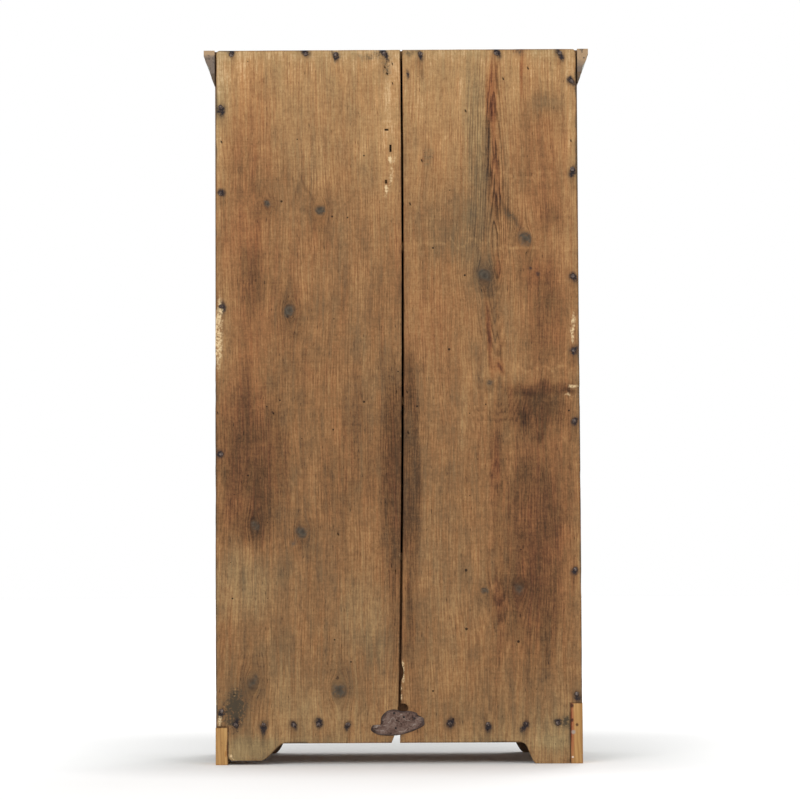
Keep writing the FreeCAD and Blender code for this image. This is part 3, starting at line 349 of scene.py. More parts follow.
@dataclass(frozen=True)
class BarePine:
    """Bare board, darkened by age or fresh: matt, streaked light and dark along the grain, darker at its arrises with
    dirt and painted shade.

    Flaws are spots with a centre across and up, two reaches and a colour.
    """

    name: str
    stops: Stops
    contrast: float = 0.5
    roughness: float = 0.72
    # Colour of dirt in spots, and of dirt and painted shade along the arrises
    soil_and_shade: str = "#3F2C1C"
    # How far dirt and painted shade reach from an arris, the width of the dirt's spots, and how far and how finely
    # flaws are shaken
    arris_mm: float = 2.4
    dirt_mm: float = 9.0
    ragged_mm: tuple[float, float] = (3.0, 4.0)
    relief_mm: float = 0.25
    hearts: Hearts = ((31, 7, 5), (17, 5, 7), (24, 0, 1))
    flaws: tuple[tuple[float, float, float, float, str], ...] = ()
    pine: Pine = Pine()

    def material(self, piece: str, grain: Axis, seed: int) -> bpy.types.Material:
        """The finish for one piece.

        Args:
            piece: The CAD node.
            grain: The way its grain runs.
            seed: Which part of the tree it was sawn from.

        Returns:
            The material.
        """
        material, add = new_material(f"{self.name}_{piece}")
        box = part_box(piece)
        radius, along = self.pine.solid(add, box, grain, self.hearts, seed)
        colour, fine = self.wood(add, radius, along, seed)
        place = add("TexCoord", out="Object")
        mm = add("VectorMath SCALE", place, Scale=1 / MM)
        dirt = add("TexNoise", mm, Scale=1 / self.dirt_mm, Detail=4, Roughness=0.7)
        # Dirt and painted shade along the arrises of the piece's box
        arris = add("MapRange", box_edge(add, insets(add, place, *box)), 0, self.arris_mm * MM, 1, 0)
        arris = add("Math MULTIPLY", arris, add("MapRange", dirt, 0.3, 0.6, 0.25, 0.8))
        spots = add("MapRange SMOOTHSTEP", dirt, 0.62, 0.74, 0, 0.5)
        layers = [(add("Math MAXIMUM", arris, spots), self.soil_and_shade)]
        deep, step = self.ragged_mm
        shaken = add("VectorMath SCALE", add("TexNoise", place, out="Color", Scale=1 / (step * MM)), Scale=deep * MM)
        for x, z, reach_x, reach_z, paint in self.flaws:
            away = add("VectorMath ADD", place, (-(x + deep / 2) * MM, 0, -(z + deep / 2) * MM))
            away = add("VectorMath MULTIPLY", add("VectorMath ADD", away, shaken),
                       (1 / (reach_x * MM), 0, 1 / (reach_z * MM)))
            away = add("VectorMath LENGTH", away, out="Value")
            layers.append((add("MapRange", away, 0.6, 1.15, 0.88, 0), paint))
        close_material(add, coats(add, colour, *layers), self.roughness, fine, self.relief_mm, specular=0.3)
        return material

    def wood(self, add: Add, radius: Socket, along: Socket, seed: float) -> tuple[Socket, Socket]:
        """Colour and relief of the bare wood: streaks about a middle tone, less the late wood's dark lines."""
        part = self.pine.streaks(add, radius, along, float(seed))
        tone = total(add, 0.55 - 1.2 * self.contrast, (part["fine"], self.contrast), (part["broad"], self.contrast),
                     (part["fleck"], self.contrast * 0.4))
        wander = add("Math MULTIPLY_ADD", part["tint"], 1.6, radius)
        late = self.pine.late_wood(add, add("Math MULTIPLY", wander, 0.5 / self.pine.ring_mm))
        return add("ValToRGB", total(add, tone, (late, -0.14)), stops=self.stops), part["fine"]


# Warm brown boards of the inside, with the soft ridges of a hand plane
INSIDE_PINE = BarePine("hand_planed_pine",
                       ((0.0, "#5B3F28"), (0.3, "#7C5A3B"), (0.6, "#9C7750"), (1.0, "#BD976B")))


@dataclass(frozen=True)
class PaintedPine:
    """Milk paint brushed on pine and rubbed by use: a chalky grey-green skin, worn to the wood at the edges.

    Hands wear and darken it by the key, feet and brooms wear it low down, and smoke lies on it in clouds.
    Brush marks of half a millimetre would be too fine to show, so they are drawn 2.2 mm wide.
    """

    name: str = "milk_paint_on_pine"
    paint: str = "#727668"
    paint_dark: str = "#565B4E"
    paint_light: str = "#8A8D7C"
    smoke: str = "#5A5849"
    handled: str = "#5A4630"
    # Colour of dirt and painted shade in the corners of a panel
    dirt: str = "#3A392E"
    # Colours of the cornice's sawn ends, how much darker they grow towards the bottom, and how deep their tops are
    # torn
    end_grain: str = "#3D342A"
    end_grey: str = "#7B6D62"
    torn_end: str = "#B0906A"
    sawn_ends: tuple[str, ...] = ("crown", "mould")
    end_rise: float = 0.45
    torn_mm: tuple[tuple[str, float], ...] = (("crown_left", 44.0), ("crown_right", 16.0))
    # Widths of brush marks, strokes, clouds, smoke, end stains and worn edges
    brush_mm: float = 2.2
    stroke_mm: float = 150.0
    cloud_mm: float = 45.0
    film_mm: float = 320.0
    stain_mm: float = 9.0
    wear_mm: float = 7.0
    # Wear at edges, low down and by the key, added to noise: bare wood shows between two sums
    edge_wear: float = 0.24
    foot_wear: float = 0.16
    hand_wear: float = 0.15
    bare_at: tuple[float, float] = (0.64, 0.72)
    # The place of the key, how far hands reach from it, and how high feet reach, in metres
    hand: tuple[float, float, float] = (0.02, -0.234, 0.9)
    hand_reach: float = 0.15
    foot_reach: float = 0.35
    # Where a panel darkens with dirt and painted shade, from the edge of its box: by the groove and at the head of
    # the bevel
    groove_mm: float = 7.5
    bevel_mm: float = 46.5
    relief_mm: float = 0.2
    hearts: Hearts = ((29, 6, 5), (19, 5, 7), (21, 0, 1))
    wood: BarePine = INSIDE_PINE

    def material(self, piece: str, grain: Axis, seed: int) -> bpy.types.Material:
        """The finish for one piece: paint on the faces that look outwards, bare wood elsewhere."""
        material, add = new_material(f"{self.name}_{piece}")
        low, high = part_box(piece)
        radius, along = self.wood.pine.solid(add, (low, high), grain, self.hearts, seed)
        bare, _ = self.wood.wood(add, radius, along, seed)

        place = add("TexCoord", out="Object")
        height = add("SeparateXYZ", place, out=2)
        mm = add("VectorMath SCALE", place, Scale=1 / MM)
        stretch = [1 / self.brush_mm] * 3
        stretch[grain.value] = 1 / self.stroke_mm
        brush = add("TexNoise", add("VectorMath MULTIPLY", mm, tuple(stretch)), Scale=1, Detail=2)
        chips = add("TexNoise", add("VectorMath MULTIPLY", mm, tuple(4 * s for s in stretch)), Scale=0.35, Detail=4,
                    Roughness=0.65)
        cloud = add("TexNoise", mm, Scale=1 / self.cloud_mm, Detail=5, Roughness=0.65)
        film = add("TexNoise", mm, Scale=1 / self.film_mm, Detail=5, Roughness=0.7)

        near = insets(add, place, low, high)
        edge = add("MapRange SMOOTHSTEP", box_edge(add, near), 0, self.wear_mm * MM, self.edge_wear, 0)
        edge = add("Math MULTIPLY", edge, add("MapRange", film, 0.38, 0.62, 0.45, 1.55))
        foot = add("MapRange SMOOTHSTEP", height, 0, self.foot_reach, self.foot_wear, 0)
        touch = add("VectorMath DISTANCE", place, self.hand, out="Value")
        touch = add("MapRange SMOOTHSTEP", touch, 0.02, self.hand_reach, self.hand_wear, 0)
        skin = add("ValToRGB", total(add, add("Math MULTIPLY", cloud, 0.4), (brush, 0.6)),
                   stops=((0.3, self.paint_dark), (0.5, self.paint), (0.7, self.paint_light)))
        skin = coats(add, skin, (add("MapRange", film, 0.45, 0.7, 0, 0.55), self.smoke),
                     (add("Math MULTIPLY", touch, 4), self.smoke))
        # Panels darken along the frame and at the head of the bevel, with dirt and painted shade
        if "panel" in piece:
            skin = coats(add, skin, (self.corner_dirt_and_shade(add, near, chips), self.dirt))
        worn = add("Math ADD", add("Math ADD", chips, edge), add("Math ADD", foot, touch))
        worn = add("MapRange SMOOTHSTEP", worn, *self.bare_at, 0, 1)

        sideways, backwards, _ = add("SeparateXYZ", add("TexCoord", out="Normal")).node.outputs
        facing = add("Math MULTIPLY", backwards, -1)
        middle = (low[0] + high[0]) / 2
        if abs(middle) > 0.34 and "door" not in piece:
            facing = add("Math MAXIMUM", facing, add("Math MULTIPLY", sideways, math.copysign(1, middle)))
        share = add("Math MULTIPLY", add("MapRange", facing, 0.25, 0.45, 0, 1), add("Math SUBTRACT", 1, worn))

        rubbed = (add("MapRange", brush, 0.3, 0.65, 0.8, 0.45), self.handled)
        if any(word in piece for word in self.sawn_ends):
            # The sawn ends grow darker towards the bottom
            rise = add("MapRange", height, low[2], high[2], self.end_rise, 0)
            bare = coats(add, bare, *self.sawn_end(add, piece, mm, height, high[2], backwards, edge, rise, rubbed))
        else:
            bare = coats(add, bare, rubbed)
        relief = total(add, add("Math MULTIPLY", brush, 0.4), (share, 0.8))
        close_material(add, coats(add, bare, (share, skin)), total(add, 0.5, (cloud, 0.2)), relief, self.relief_mm)
        return material

    def sawn_end(self, add: Add, piece: str, mm: Socket, height: Socket, top: float, backwards: Socket, edge: Socket,
                 rise: Socket, rubbed: tuple[Socket, str]) -> list[tuple[Socket, str]]:
        """The coats of a moulding's sawn end: darker by a stain, towards the bottom and by the edges, and a torn top.

        Args:
            add: Adds nodes.
            piece: The CAD node.
            mm: The place in millimetres.
            height: The height in metres.
            top: Where the piece ends.
            backwards: How far the face looks to the back.
            edge: Wear at the edges.
            rise: Darkening by height, most at the bottom.
            rubbed: The coat that handling leaves.

        Returns:
            Shares and colours.
        """
        stain = add("TexNoise", mm, Scale=1 / self.stain_mm, Detail=3, Roughness=0.6)
        sawn = add("MapRange", backwards, 0.6, 0.9, 0, 1)
        end_darkening = add("Math ADD", total(add, stain, (edge, 1.5)), rise)
        layers = [(add("Math MULTIPLY", add("MapRange", end_darkening, 0.5, 0.85, 0, 1), sawn), self.end_grain), rubbed]
        for crown, deep in self.torn_mm:
            if piece == crown:
                low, full = top + 0.01 - deep * MM, top + 0.01 - deep / 2 * MM
                torn = add("MapRange", total(add, height, (stain, 0.02)), low, full, 0, 0.8)
                pocket = add("MapRange", stain, 0.36, 0.43, 0.75, 0)
                layers += [(add("Math MULTIPLY", part, sawn), paint) for part, paint in
                           ((0.5, self.end_grey), (torn, self.torn_end), (pocket, self.end_grain))]
        return layers

    def corner_dirt_and_shade(self, add: Add, near: Sequence[Socket], chips: Socket) -> Socket:
        """Dirt that a duster leaves on a panel, and painted shade: along the frame, and in the step at the head of
        the bevel.
        """
        inward = add("Math MULTIPLY", add("Math MINIMUM", near[0], near[2]), 1 / MM)
        by_frame = add("MapRange", inward, self.groove_mm, self.groove_mm + 9, 0.75, 0)
        step = add("Math ABSOLUTE", add("Math ADD", inward, -self.bevel_mm))
        step = add("MapRange", step, 0, 3.2, 0.75, 0)
        return add("Math MULTIPLY", add("Math MAXIMUM", by_frame, step), add("MapRange", chips, 0.3, 0.6, 0.6, 1))


@dataclass(frozen=True)
class Iron:
    """Iron as forged or rolled: dark oxide with brown rust in patches, and a dull sheen where rubbed."""

    name: str
    dark: str
    rust: str
    light: str
    patch_mm: float
    rust_share: float
    roughness: float = 0.6
    metallic: float = 0.35
    relief_mm: float = 0.25
    # How strongly scratches show, their colour, and their length and spacing
    scratched: float = 0.0
    scratch: str = "#A4968A"
    scratch_mm: tuple[float, float] = (22.0, 4.0)

    def material(self, piece: str, grain: Axis = Axis.Z, seed: int = 0) -> bpy.types.Material:
        """The finish for one piece."""
        material, add = new_material(f"{self.name}_{piece}")
        mm = add("VectorMath MULTIPLY_ADD", add("TexCoord", out="Object"), (1 / MM,) * 3, (13.0 * seed,) * 3)
        blotch = add("TexNoise", mm, Scale=1 / self.patch_mm, Detail=4, Roughness=0.65)
        pits = add("TexNoise", mm, Scale=4 / self.patch_mm, Detail=3, Roughness=0.7)
        colour = add("ValToRGB", total(add, add("Math MULTIPLY", blotch, 0.8), (pits, 0.35)),
                     stops=((0.40, self.dark), (0.62 - 0.1 * self.rust_share, self.rust), (0.78, self.light)))
        if self.scratched:
            long, wide = self.scratch_mm
            bent = add("VectorMath SCALE", add("TexNoise", mm, out="Color", Scale=0.04), Scale=40)
            drawn = add("VectorMath MULTIPLY", add("VectorMath ADD", mm, bent), (1 / long, 0, 1 / wide))
            drawn = add("TexNoise", drawn, Scale=1, Detail=1)
            drawn = add("MapRange SMOOTHSTEP", drawn, 0.58, 0.7, 0, self.scratched)
            colour = coats(add, colour, (drawn, self.scratch))
        # Painted shade: a dark rim along the edge of the patch; other pieces carry none
        colour = coats(add, colour, (add("Attribute", out="Fac", attribute_name=Field.RIM.value), self.dark))
        rough = add("MapRange", blotch, 0.35, 0.65, self.roughness + 0.2, self.roughness - 0.1)
        close_material(add, colour, rough, pits, self.relief_mm, self.metallic)
        return material


@dataclass(frozen=True)
class Brass:
    """Cast brass, tarnished: brown-gold, brighter where fingers rub it."""

    name: str = "tarnished_cast_brass"
    dark: str = "#5B4524"
    light: str = "#A58548"
    patch_mm: float = 6.0
    relief_mm: float = 0.1

    def material(self, piece: str, grain: Axis = Axis.Z, seed: int = 0) -> bpy.types.Material:
        """The finish for one piece."""
        material, add = new_material(f"{self.name}_{piece}")
        blotch = add("TexNoise", add("TexCoord", out="Object"), Scale=1 / (self.patch_mm * MM), Detail=4)
        colour = add("ValToRGB", blotch, stops=((0.35, self.dark), (0.65, self.light)))
        close_material(add, colour, add("MapRange", blotch, 0.3, 0.7, 0.55, 0.32), blotch, self.relief_mm, 1)
        return material


@dataclass(frozen=True)
class WeatheredBackPine:
    """Bare pine of the back, scrub planed and never finished: oxidised brown, stained by nails, smoke and damp.

    Late-wood lines follow the rings round the knots, short dark dashes show where the plane tore the fibres,
    faint ripples cross the grain, and the colour drifts between tan, red-brown and grey.  Fibres, specks and
    the pin holes of worms, of one to two millimetres and less, are too fine to show from afar, so all are drawn
    coarser.
    The holes are painted near black, as painted shade.
    """

    name: str = "weathered_scrub_planed_pine"
    # Dark to light at even steps, for plain, reddened and greyed wood
    plain: tuple[str, ...] = ("#2B1B10", "#5F4229", "#8E6641", "#B38B5D", "#DDBC90")
    red: tuple[str, ...] = ("#31190F", "#693D28", "#98613C", "#BA8250", "#DFB27E")
    grey: tuple[str, ...] = ("#2A231B", "#584836", "#7F694A", "#A68D63", "#D3BC94")
    knot_rim: str = "#2B2520"
    # Near black for the worm holes: painted shade inside them
    hole: str = "#170B05"
    # Colour of each stain, and how ragged its outline is; the near black of the holes is painted shade
    stains: tuple[tuple[Field, str, float], ...] = (
        (Field.GRIME, "#4A4032", 0.55), (Field.KNOT, "#554C40", 0.5), (Field.IRON, "#2A2426", 0.35),
        (Field.FRESH, "#DCC094", 0.95), (Field.HOLE, hole, 0.1))
    # How much each layer of noise lightens and darkens the wood
    shares: tuple[tuple[str, float], ...] = (("fine", 0.29), ("broad", 0.34), ("fleck", 0.36), ("blotch", 0.46),
                                             ("ripple", 0.11), ("speck", 0.32), ("mottle", 0.3))
    tone_base: float = 0.018
    # Lines of late wood darken the wood this much, and where a board's grain is marked as strong
    late_dark: float = -0.12
    grain_dark: float = -0.23
    # Below nought the wood greys and above it reddens: base, shares of noise, and gain
    hue_base: float = -1.88
    hue_shares: tuple[tuple[str, float], ...] = (("tint", 1.9), ("blotch", 1.7))
    hue_gain: float = 0.72
    # Widths of blotches and specks; the pin holes' spacing, the share of places left whole, and radius at most
    mottle_mm: float = 13.0
    speck_mm: float = 5.0
    pin_spacing: float = 40.0
    pin_share: float = 0.5
    pin_mm: float = 3.8
    relief_mm: float = 0.35
    pine: Pine = Pine(layers=(("fine", 3, 170, 3), ("broad", 15, 340, 3), ("tint", 7, 190, 3), ("fleck", 2.4, 26, 2),
                              ("dash", 3, 21, 1), ("blotch", 42, 80, 5), ("ripple", 150, 4.5, 2)))

    def material(self, piece: str, seed: int, knots: Sequence[Knot]) -> bpy.types.Material:
        """The finish for one board.

        Args:
            piece: The board's name.
            seed: Shifts the streaks.
            knots: Its knots, for their dark rims and hearts.

        Returns:
            The material.
        """
        material, add = new_material(f"{self.name}_{piece}")
        value = {kind: add("Attribute", out="Fac", attribute_name=kind.value) for kind in Field}
        mm = add("VectorMath SCALE", add("TexCoord", out="Object"), Scale=1 / MM)
        part = self.pine.streaks(add, value[Field.RING], add("SeparateXYZ", mm, out=2), float(seed))
        part["mottle"] = add("TexNoise", mm, Scale=1 / self.mottle_mm, Detail=5, Roughness=0.7)
        part["speck"] = add("TexNoise", mm, Scale=1 / self.speck_mm, Detail=2, Roughness=0.6)

        base = add("Math ADD", value[Field.TONE], self.tone_base - sum(share for _, share in self.shares) / 2)
        tone = total(add, base, *((part[name], share) for name, share in self.shares))
        late = self.pine.late_wood(add, total(add, value[Field.COUNT], (part["tint"], 2)))
        strength = add("MapRange", part["blotch"], 0.40, 0.62, 0, self.late_dark)
        tone = add("Math MULTIPLY_ADD", late, total(add, strength, (value[Field.GRAIN], self.grain_dark)), tone)
        # Pale scrapes, torn fibres, dirt in the pores and dust on them: layer, from, to, amount
        scrape, torn, dirt, dust = (
            add("MapRange SMOOTHSTEP", part[name], start, end, 0, amount) for name, start, end, amount in
            (("ripple", 0.68, 0.80, 0.08), ("dash", 0.67, 0.76, -0.26), ("speck", 0.60, 0.74, -0.5),
             ("speck", 0.36, 0.26, 0.3)))
        dirt = add("Math MULTIPLY", dirt, total(add, 0.16, (value[Field.GRIME], 1)))
        dust = add("Math MULTIPLY", dust, total(add, 0.25, (value[Field.GRIME], 0.8)))
        tone = total(add, tone, (scrape, 1), (torn, 1), (dirt, 1), (dust, 1))

        hue = add("Math ADD", value[Field.HUE], self.hue_base)
        hue = total(add, hue, *((part[name], share) for name, share in self.hue_shares))
        hue = add("Math MULTIPLY", hue, self.hue_gain)
        redder = add("Math MAXIMUM", hue, 0, use_clamp=True)
        greyer = add("Math MULTIPLY", add("Math MINIMUM", hue, 0), -1, use_clamp=True)
        plain, red, grey = (add("ValToRGB", tone, stops=[(n / 4, paint) for n, paint in enumerate(paints)])
                            for paints in (self.plain, self.red, self.grey))
        layers = [(redder, red), (greyer, grey)]
        ragged = total(add, add("Math MULTIPLY", part["mottle"], 0.5), (part["speck"], 0.5))
        for kind, paint, rag in self.stains:
            broken = add("Math MULTIPLY", add("MapRange", ragged, 0.38, 0.62, 1 - rag, 1 + rag), value[kind])
            layers.append((add("MapRange SMOOTHSTEP", broken, 0.08, 0.92, 0, 1), paint))
        # Pin holes of worms painted near black: painted shade of holes too small to model
        pins = add("TexVoronoi", mm, Scale=1 / self.pin_spacing)
        size = add("SeparateColor", pins.node.outputs["Color"])
        size = add("MapRange", size, self.pin_share, 1, 0, self.pin_mm / self.pin_spacing)
        layers.append((add("Math MULTIPLY", add("Math LESS_THAN", pins, size), 0.85), self.hole))
        dark = add("Math MULTIPLY", value[Field.KNOT], self.knot_rims(add, mm, knots))
        layers.append((add("Math MULTIPLY", dark, 1.2, use_clamp=True), self.knot_rim))
        relief = total(add, part["fine"], (part["fleck"], 0.5), (torn, 1))
        rough = add("MapRange", part["broad"], 0.3, 0.7, 0.7, 0.85)
        close_material(add, coats(add, plain, *layers), rough, relief, self.relief_mm, specular=0.2)
        return material

    def knot_rims(self, add: Add, mm: Socket, knots: Sequence[Knot]) -> Socket:
        """Where knots are darkest: at their bark rim and at the heart, by the distance counted in radii.

        Args:
            add: Adds nodes.
            mm: The place in millimetres.
            knots: The board's knots.

        Returns:
            A share from 0 to 1.
        """
        tall, shake = 1 / 1.15, 10.0
        wobble = add("TexNoise", mm, out="Color", Scale=1 / 8, Detail=2)
        flat = add("VectorMath MULTIPLY_ADD", wobble, (shake,) * 3, (-shake / 2,) * 3)
        flat = add("VectorMath MULTIPLY", add("VectorMath ADD", flat, mm), (1, 0, tall))
        near = 9.0
        for knot in knots:
            away = add("VectorMath DISTANCE", flat, (knot.x, 0, knot.z * tall), out="Value")
            near = add("Math MINIMUM", near, add("Math MULTIPLY", away, 1 / knot.radius))
        off_rim = add("Math ABSOLUTE", add("Math ADD", near, -0.95))
        return add("Math MAXIMUM", add("MapRange SMOOTHSTEP", off_rim, 0, 0.3, 0.6, 0),
                   add("MapRange SMOOTHSTEP", near, 0, 0.7, 0.65, 0))


# The strip behind the joint, which smoke and dust have darkened
SMOKED_PINE = BarePine("smoke_darkened_pine",
                       ((0.0, "#342215"), (0.3, "#573B25"), (0.6, "#724F31"), (1.0, "#916B45")))
# The pieced foot: pale and yellow, with strong rings, and dark only where it meets the old board
NEW_PINE = BarePine("fresh_sawn_pine",
                    ((0.0, "#815B33"), (0.4, "#AB804B"), (0.7, "#C2975D"), (1.0, "#DDB981")),
                    contrast=0.9, soil_and_shade="#6B3F22",
                    flaws=((406.4, 38, 1.6, 22, "#5A3218"), (410, 26, 2.6, 9, "#A8743C")))
# Its taller fellow: a red-brown stain along the old board, three dark holes, a bright nail and a chip
STAINED_NEW_PINE = replace(NEW_PINE, stops=((0.0, "#7C5730"), (0.4, "#A57A47"), (0.7, "#BD9259"), (1.0, "#DAB67F")),
                           flaws=((-408.5, 84, 6, 80, "#A4663F"), (-406.2, 92, 2.4, 52, "#6B2C18"),
                                  (-407.5, 136, 6, 6, "#3A1710"), (-408.5, 102, 4, 4.6, "#3A1710"),
                                  (-420.2, 90.8, 4, 4, "#45200F"), (-411.5, 73.8, 5.5, 5, "#A2968A"),
                                  (-409.5, 15.2, 2.4, 2.4, "#EAD9C9")))
# Split oak, brown and close
PEG_OAK = BarePine("riven_oak_peg", ((0.0, "#3F2C1B"), (0.5, "#5F462C"), (1.0, "#7F6242")))
PAINTED_PINE = PaintedPine()
BACK_PINE = WeatheredBackPine()
# Hammered heads: near black, brown in the hollows and grey on the crowns
WROUGHT_NAIL = Iron("wrought_iron_rusted", "#1F1A1A", "#4A3A33", "#8C8078", patch_mm=5, rust_share=0.4)
# Hinges, lock and bolts: smooth dark oxide, a little shine
HARDWARE_IRON = Iron("forged_iron_dark_oxide", "#1C1B1B", "#3B322C", "#5E5650",
                     patch_mm=9, rust_share=0.3, roughness=0.5, metallic=0.5)
# Tacks: near black
TACK_IRON = Iron("forged_tack_dark_oxide", "#120E0D", "#231B18", "#3C332E", patch_mm=4, rust_share=0.3)
# Sheet: matt brown rust all over, with pale scratches
SHEET_IRON = Iron("rolled_sheet_iron_rusted", "#291C18", "#5C443A", "#7B665B",
                  patch_mm=15, rust_share=0.9, roughness=0.75, metallic=0.05, scratched=0.6)


# The two wide boards of the back


def bowed(z: Array, places: Sequence[float]) -> Array:
    """A bowed line given at the floor, the middle and the top: the parabola through the three."""
    low, middle, high = places
    t = z / (CASE_HEIGHT / 2)
    bend = (low - 2 * middle + high) / 2
    return low + (middle - low - bend) * t + bend * t * t


@dataclass(frozen=True)
class Mark:
    """A soft-edged spot on a board: where it is, how far it reaches, how strong it is and how firm its rim.

    Its strength falls off as e to the minus the distance squared to the power of its firmness, where the
    distance is counted in reaches.  A lean carries it sideways as it rises.
    """

    kind: Field
    x: float
    z: float
    reach_x: float
    reach_z: float
    amount: float
    firm: float = 1.0
    lean: float = 0.0

    def spread(self, x: Array, z: Array) -> Array:
        """The mark's strength at places on the board."""
        across = (x - self.x - self.lean * (z - self.z)) / self.reach_x
        up = (z - self.z) / self.reach_z
        return self.amount * np.exp(-(across ** 2 + up ** 2) ** self.firm)


@dataclass(frozen=True)
class Knot:
    """A knot: rings part round it as water parts round a post."""

    x: float
    z: float
    radius: float
    dark: float
    stretch: float = 1.7

    def parting(self, x: Array, z: Array) -> Array:
        """Sideways shift of the rings: the offset times the radius squared over the distance squared."""
        across = x - self.x
        distance = across ** 2 + ((z - self.z) / self.stretch) ** 2
        return -across * np.minimum(1.0, self.radius ** 2 / np.maximum(distance, 1.0))

    def marks(self) -> list[Mark]:
        """The dark heart of the knot, and the darker wood round it."""
        r = self.radius
        return [Mark(Field.KNOT, self.x, self.z, 1.15 * r, 1.1 * r, self.dark, 1.6),
                Mark(Field.TONE, self.x, self.z - 0.4 * r, 2.1 * r, 3.2 * r, -0.16, 0.9)]


# Rust round a nail's head, a wider stain, and a streak that runs down: field, drop, reaches, amount
NAIL_STAINS = ((Field.IRON, 1, 9.5, 10.5, 0.9), (Field.IRON, 6, 19, 21, 0.22), (Field.TONE, 22, 6, 26, -0.12))
# How much of each stain comes through to the inside of a board
INSIDE_SHARES = {Field.FRESH: 0.0, Field.HOLE: 0.0, Field.IRON: 0.3, Field.GRIME: 0.4}


@dataclass
class BackBoard:
    """One of the two wide boards of the back, from the open joint to the outer edge.

    The surface is a grid of columns across and rows up.  Cells below the arch and in the notch for the
    foot piece are left out, and walls close the border between the back face and the front face.
    Slots and dots are worm holes, long and round: place, then size or depth.
    """

    sign: int
    seed: int
    foot_width: float
    foot_run: float
    foot_lift: float
    foot_fullness: float
    notch_top: float
    marks: list[Mark]
    knots: list[Knot]
    dots: list[tuple[float, float, float]]
    heart_x: float
    # Height and depth of the tree's heart, and height and tone of the wood, whose paler upper part is partly painted
    # light
    heart_depths: tuple[tuple[float, float], ...]
    tone_and_top_light: tuple[tuple[float, float], ...]
    slots: tuple[tuple[float, float, float, float], ...] = ()
    toe_radius: float = 0.0
    # Width and height of the corner lost at the joint; height, length and depth of the bite above it
    chip: tuple[float, float] = (0.0, 0.0)
    bite: tuple[float, float, float] = (0.0, 1.0, 0.0)
    column_mm: float = 3.9
    row_mm: float = 6.0
    edge_radius: float = 2.6
    corner_radius: float = 9.0
    outer_insets: tuple[float, float, float] = (1.0, 0.5, 3.5)
    room: float = 0.3
    slot_depth: float = 6.0

    @property
    def name(self) -> str:
        """The CAD node that the board stands for."""
        return "back_board_right" if self.sign > 0 else "back_board_left"

    def inner(self, z: Array) -> Array:
        """The edge at the joint: bowed, with the bite, the vermin hole and the corner chip let in."""
        edge = bowed(z, JOINT_X) + self.sign * JOINT_WIDTH / 2
        rise, tall, deep = self.bite
        edge = edge + self.sign * deep * np.clip(1 - ((z - rise) / (tall / 2)) ** 2, 0, 1)
        hole_x, hole_z, radius = VERMIN_HOLE
        reach = hole_x + self.sign * np.sqrt(np.clip(radius ** 2 - (z - hole_z) ** 2, 0, None))
        holed = self.sign * np.maximum(self.sign * edge, self.sign * reach)
        edge = np.where(np.abs(z - hole_z) < radius, holed, edge)
        wide, tall = self.chip
        lost = wide * (1 - 0.5 * (z - ARCH_HEIGHT) / max(tall, 1.0))
        return edge + self.sign * np.where((z <= ARCH_HEIGHT + tall) & (wide > 0), lost, 0.0)

    def outer(self, z: Array) -> Array:
        """The outer edge, bowed, worn in small bites and round at the top corner."""
        places = [self.sign * (HALF_WIDTH - inset) for inset in self.outer_insets]
        over = np.clip(z - CASE_HEIGHT + self.corner_radius, 0, self.corner_radius)
        corner = self.corner_radius - np.sqrt(self.corner_radius ** 2 - over ** 2)
        bites = np.clip(drift(z, z, 1000, 17, 61 + self.sign) + drift(z, z, 1000, 46, 67), 0, 2)
        worn = 0.6 * bites * np.clip((z - self.notch_top) / 30, 0, 1)
        return bowed(z, places) - self.sign * (worn + corner)

    def in_slot(self, x: Array, z: Array) -> Array:
        """Marks the places that lie in a worm slot."""
        found = np.zeros(x.shape, bool)
        for slot_x, slot_z, wide, tall in self.slots:
            found |= (np.abs(x - slot_x) < wide / 2) & (np.abs(z - slot_z) < tall / 2)
        return found

    def grid(self) -> tuple[Array, Array, Array]:
        """Places of the grid's corners, and which cells hold wood.

        Returns:
            x and z of the corners, and a mask of the cells.
        """
        notch, toe = SIDE_INSIDE - self.room, HALF_WIDTH - self.foot_width
        arch_end = toe - self.foot_run
        joint = self.inner(np.array(ARCH_HEIGHT + self.chip[1] + 1))
        start, width = self.sign * joint, abs(self.outer(np.array(ARCH_HEIGHT)) - joint)
        # Lines close together at an edge for its rounding, and on either side of a slot's walls
        edges = np.array([0.0, 0.5, 1.4, 2.8, 5.0])
        beside = np.array([0.4, -0.2])
        walls = {size: np.concatenate([-size / 2 - beside, (size / 2 + beside)[::-1]])
                 for *_, wide, tall in self.slots for size in (wide, tall)}

        steps = [edges, width - edges, np.arange(8.0, width - 6.0, self.column_mm)]
        steps += [self.sign * x - start + walls[wide] for x, _, wide, _ in self.slots]
        across = np.unique(np.round(np.concatenate(steps), 2))
        across = across[np.concatenate([[True], np.diff(across) > 0.35])]
        kt, kn = (int(np.argmin(np.abs(across - (place - start)))) for place in (arch_end, notch))
        across[kt], across[kn] = arch_end - start, notch - start
        share = across / width

        t = np.linspace(0, 1, 15)
        foot_rows = self.foot_lift + (ARCH_HEIGHT - self.foot_lift) * smooth(t)
        _, hole_z, radius = VERMIN_HOLE
        rows = [foot_rows, ARCH_HEIGHT + edges[1:], CASE_HEIGHT - edges, np.arange(58.0, 1694.0, self.row_mm),
                hole_z + radius * np.sin(np.linspace(-1, 1, 13) * math.pi / 2),
                hole_z + radius * np.array([-1.04, 1.04]),
                [ARCH_HEIGHT + self.chip[1], ARCH_HEIGHT + self.chip[1] + 0.6, self.notch_top]]
        rows += [z + walls[tall] for _, z, _, tall in self.slots]
        z = np.unique(np.round(np.concatenate(rows), 2))
        z = z[np.concatenate([[True], np.diff(z) > 0.3]) | np.isin(z, np.round([ARCH_HEIGHT, self.notch_top], 2))]

